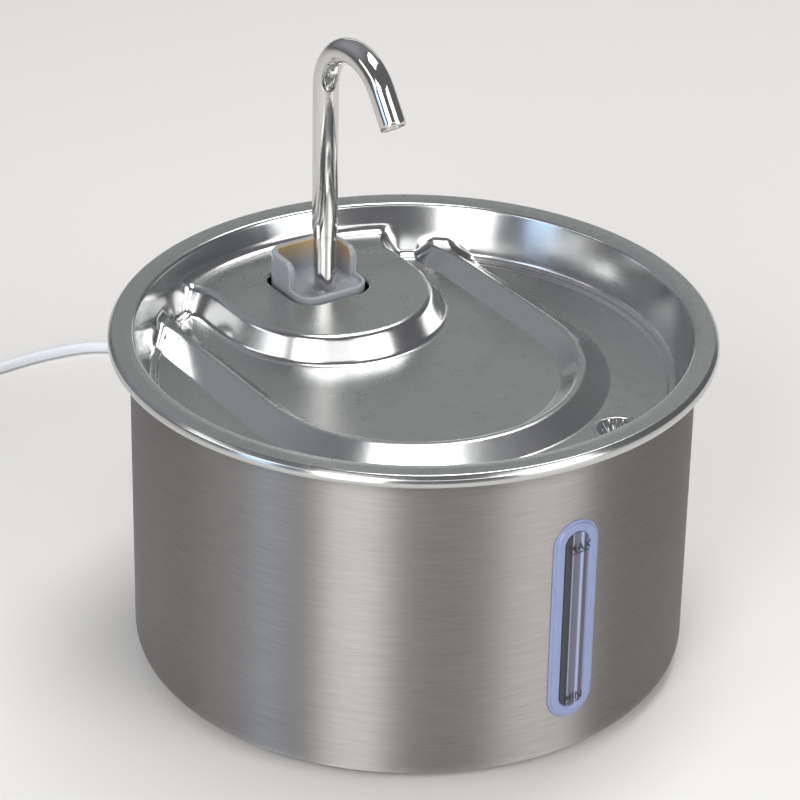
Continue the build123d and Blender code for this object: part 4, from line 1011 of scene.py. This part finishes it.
# %% [markdown]
# ## Window seal
# The seal is a ring with a low clear lip outside, a domed band and a neck through the wall. Its
# section goes round the stadium outline and is bent to the bowl.
# %%
SEAL_W = 16.8
SEAL_H = 72.0
SEAL_BAND = 4.0
SEAL_NECK = 1.7
SEAL_IN_T = 1.5
SEAL_ARC_STEPS = 40
SEAL_SECTION = [(SEAL_BAND, -SHEET - SEAL_IN_T), (0, -SHEET - SEAL_IN_T), (0, -SHEET),
                (SEAL_NECK, -SHEET), (SEAL_NECK, 0), (0, 0), (0, 0.5), (0.75, 0.65), (1.15, 1.2),
                (3.1, 1.28), (SEAL_BAND, 0.8), (SEAL_BAND, -SHEET - SEAL_IN_T)]
SEAL_FILLETS = [0.2, 0.2, 0, 0, 0, 0.3, 0.3, 0.3, 0.9, 0.5]


def seal_outline():
    """Points round the seal's stadium outline with the way inwards at each one."""
    half = SEAL_W / 2
    straight = (SEAL_H - SEAL_W) / 2
    points = []
    for side in (1, -1):
        turns = np.radians(np.linspace(0, 180, SEAL_ARC_STEPS) + (0 if side > 0 else 180))
        for turn in turns:
            way = np.array([math.cos(turn), math.sin(turn)])
            points.append((np.array([0, side * straight]) + half * way, -way))
        ahead = points[-1]
        points += [(ahead[0] - np.array([0, side * step]), ahead[1])
                   for step in np.linspace(0, 2 * straight, SEAL_ARC_STEPS)[1:-1]]
    return points


def make_seal():
    """The seal as one grid round its outline."""
    section = filleted(SEAL_SECTION, SEAL_FILLETS, 3)
    rings = []
    for depth, height in section:
        flat = np.array([place + inwards * depth for place, inwards in seal_outline()])
        radius = BOWL_R + height
        rings.append(np.stack([flat[:, 0], -np.sqrt(radius ** 2 - flat[:, 0] ** 2),
                               flat[:, 1] + WINDOW_Z], axis=-1))
    seal = add_grid("seal_skin", np.array(rings), "milky_silicone", "bowl_body")
    # Blue silicone whose tint is partly a painted sky reflection.
    seal.data.materials[0] = seal_blue_with_painted_sky
    seal.data.set_sharp_from_angle(angle=math.radians(SEAT_SHARP))
    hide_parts("window_seal")


make_seal()

# %% [markdown]
# ## Spout
# A thin polished tube: a swaged foot with faint flats, a tight bend and a square-cut mouth.
# %%
SPOUT_Y = RIM_R - 45.2
SPOUT_R = 4.3
SPOUT_WALL = 0.7
SPOUT_FOOT_R = 3.7
SPOUT_FOOT_Z = 96.4
SPOUT_TAPER_Z = 117.6
SPOUT_TAPER_L = 16.0
SPOUT_BEND_Z = 179.6
SPOUT_BEND_R = 18.3
SPOUT_BEND_ANGLE = 144.0
SPOUT_END_L = 12.2
SPOUT_STEPS = 64
SPOUT_FLATS = 5
SPOUT_FLAT_H = 0.03


def spout_line():
    """Middle of the tube and its heading in the YZ plane, at each place along it."""
    rise = np.linspace(SPOUT_FOOT_Z, SPOUT_BEND_Z, 60)
    places = [((SPOUT_Y, z), 0.0) for z in rise]
    centre = (SPOUT_Y - SPOUT_BEND_R, SPOUT_BEND_Z)
    for turn in np.radians(np.linspace(0, SPOUT_BEND_ANGLE, 61)[1:]):
        places.append(((centre[0] + SPOUT_BEND_R * math.cos(turn),
                        centre[1] + SPOUT_BEND_R * math.sin(turn)), turn))
    last, turn = places[-1]
    for far in np.linspace(0, SPOUT_END_L, 9)[1:]:
        place = (last[0] - math.sin(turn) * far, last[1] + math.cos(turn) * far)
        places.append((place, turn))
    return places


def make_spout():
    """Outer skin, square mouth and bore in one surface."""
    angle = np.linspace(0, 2 * np.pi, SPOUT_STEPS, endpoint=False)
    rings = []
    places = spout_line()
    order = [(p, 0.0) for p in places] + [(p, SPOUT_WALL) for p in places[::-1]]
    for ((y, z), turn), inset in order:
        grow = np.clip((z - SPOUT_TAPER_Z) / SPOUT_TAPER_L, 0, 1) if turn == 0 else 1.0
        grow = grow * grow * (3 - 2 * grow)
        radius = SPOUT_FOOT_R + (SPOUT_R - SPOUT_FOOT_R) * grow - inset
        flats = SPOUT_FLAT_H * (1 - grow) * (1 + np.cos(SPOUT_FLATS * angle))
        ring = np.full(SPOUT_STEPS, radius) - flats
        across = np.cos(angle) * ring
        level = np.sin(angle) * ring
        rings.append(np.stack([across, y + level * math.cos(turn), z + level * math.sin(turn)],
                              axis=-1))
    rings.append(rings[0])
    spout = add_grid("spout_skin", np.array(rings), "bright_steel", "spout_body")
    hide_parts("spout_tube")


make_spout()

# %% [markdown]
# ## Level marks
# Two lines with plain words show the highest and the lowest water. They lie on the lens.
# %%
MARK_FACE_R = BOWL_R + 1.05
MARKS = (("MAX", 77.9), ("MIN", 22.5))
MARK_X = 0.85
MARK_W = 7.0
MARK_LINE_H = 0.4
MARK_STEPS = 9
WORD_RISE = 0.88
LETTER_H = 2.9
FONT_CAP = 0.73
LETTER_WEIGHT = 0.06


def laid_on_lens(mesh, name, ink):
    """A piece from a flat mesh in (x, z), bent on to the lens."""
    for vertex in mesh.vertices:
        x = vertex.co.x / MM
        vertex.co.y = -math.sqrt(MARK_FACE_R ** 2 - x ** 2) * MM
    mesh.materials.clear()
    mesh.materials.append(ink)
    piece = bpy.data.objects.new(name, mesh)
    bpy.context.scene.collection.objects.link(piece)
    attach(piece, "bowl_body")


def make_word(word, x, z, ink):
    """A word as a mesh in (x, z), centred on x and standing on z."""
    text = bpy.data.curves.new("word", "FONT")
    text.body = word
    text.size = LETTER_H / FONT_CAP * MM
    text.align_x = "CENTER"
    text.offset = LETTER_WEIGHT * MM
    source = bpy.data.objects.new("word", text)
    bpy.context.scene.collection.objects.link(source)
    bpy.context.view_layer.update()
    letters = bpy.data.meshes.new_from_object(source)
    bpy.data.objects.remove(source)
    for vertex in letters.vertices:
        vertex.co = (vertex.co.x + x * MM, 0, vertex.co.y + z * MM)
    laid_on_lens(letters, "mark_word_" + word.lower(), ink)


def make_marks():
    """Lines and words printed on the lens."""
    ink = moulded("mark_ink", "#14161b", "#1b1f26", 0.4)
    for word, line_z in MARKS:
        steps = np.linspace(MARK_X - MARK_W / 2, MARK_X + MARK_W / 2, MARK_STEPS)
        corners = [(x * MM, 0, z * MM) for z in (line_z, line_z + MARK_LINE_H) for x in steps]
        faces = [(i, i + 1, i + MARK_STEPS + 1, i + MARK_STEPS) for i in range(MARK_STEPS - 1)]
        mesh = bpy.data.meshes.new("mark_line_" + word.lower())
        mesh.from_pydata(corners, [], faces)
        laid_on_lens(mesh, mesh.name, ink)
        make_word(word, MARK_X, line_z + WORD_RISE, ink)


make_marks()

# %% [markdown]
# ## Floor and light
# A pale floor and large soft lamps in a grey room, which is lighter on the far side.
# %%
FLOOR_HALF = 6.0
LAMP_AIM_Z = 0.06
ROOM_TINT = "#757579"
ROOM_STRENGTH = 0.9
# Lighter parts of the room: way to the middle, cosine where it starts and is full, and tint.
ROOM_SIDES = [
    ((0.47, 0.70, 0.53), 0.72, 0.97, "#8f9492"),
    ((-0.25, 0.75, 0.61), 0.76, 0.98, "#adaeb6"),
]
# Lamps: name, azimuth, elevation, distance, width, height, power in watts and tint.
LAMPS = [
    ("key", -55, 24, 1.7, 0.7, 1.5, 15, "#ffffff"),
    ("fill", 19, 24, 1.9, 1.1, 1.6, 16, "#ffffff"),
    ("front", -22, 32, 1.9, 1.6, 0.35, 3.5, "#ffffff"),
    ("left", -100, 31, 1.8, 1.3, 0.35, 3, "#ffffff"),
    ("cool", -88, 14, 1.7, 0.4, 0.9, 3, "#a8c4e6"),
    ("top", 113, 75, 1.7, 0.6, 1.4, 16, "#ffffff"),
    ("back", 140, 14, 1.9, 1.3, 0.3, 1.2, "#ffffff"),
]


def make_floor():
    """A wide pale floor."""
    mesh = bpy.data.meshes.new("floor")
    half = FLOOR_HALF
    mesh.from_pydata([(-half, -half, 0), (half, -half, 0), (half, half, 0), (-half, half, 0)], [],
                     [(0, 1, 2, 3)])
    floor = bpy.data.objects.new("floor", mesh)
    bpy.context.scene.collection.objects.link(floor)
    material, _, shader = new_material("floor_paper")
    shader.inputs["Base Color"].default_value = colour("#e8e6e2")
    shader.inputs["Roughness"].default_value = 0.9
    mesh.materials.append(material)


def make_lamp(name, azimuth, elevation, distance, width, height, power, tint):
    """A soft rectangular lamp that faces the object; azimuth 0 is in front, 90 on the right."""
    data = bpy.data.lights.new(name, "AREA")
    data.shape = "RECTANGLE"
    data.size = width
    data.size_y = height
    data.energy = power
    data.color = colour(tint)[:3]
    lamp = bpy.data.objects.new(name, data)
    a = math.radians(azimuth)
    e = math.radians(elevation)
    way = Vector((math.sin(a) * math.cos(e), -math.cos(a) * math.cos(e), math.sin(e)))
    lamp.location = way * distance + Vector((0, 0, LAMP_AIM_Z))
    lamp.rotation_mode = "QUATERNION"
    lamp.rotation_quaternion = (-way).to_track_quat("-Z", "Y")
    bpy.context.scene.collection.objects.link(lamp)


def make_room():
    """World light: a grey room with two lighter parts on the far side."""
    world = bpy.data.worlds.new("room")
    bpy.context.scene.world = world
    world.use_nodes = True
    tree = world.node_tree
    tree.nodes.clear()
    place = add(tree, "ShaderNodeTexCoord")
    shade = ROOM_TINT
    for way, low, high, tint in ROOM_SIDES:
        near = add(tree, "ShaderNodeVectorMath", {0: place.outputs["Generated"], 1: way},
                   operation="DOT_PRODUCT")
        shade = blend_colours(tree, ranged(tree, near.outputs["Value"], low, high, 0.0, 1.0),
                              shade, tint)
    back = add(tree, "ShaderNodeBackground", {"Color": shade, "Strength": ROOM_STRENGTH})
    output = add(tree, "ShaderNodeOutputWorld")
    tree.links.new(back.outputs["Background"], output.inputs["Surface"])


make_floor()
for lamp_row in LAMPS:
    make_lamp(*lamp_row)
make_room()
bpy.context.scene.view_settings.view_transform = "Standard"
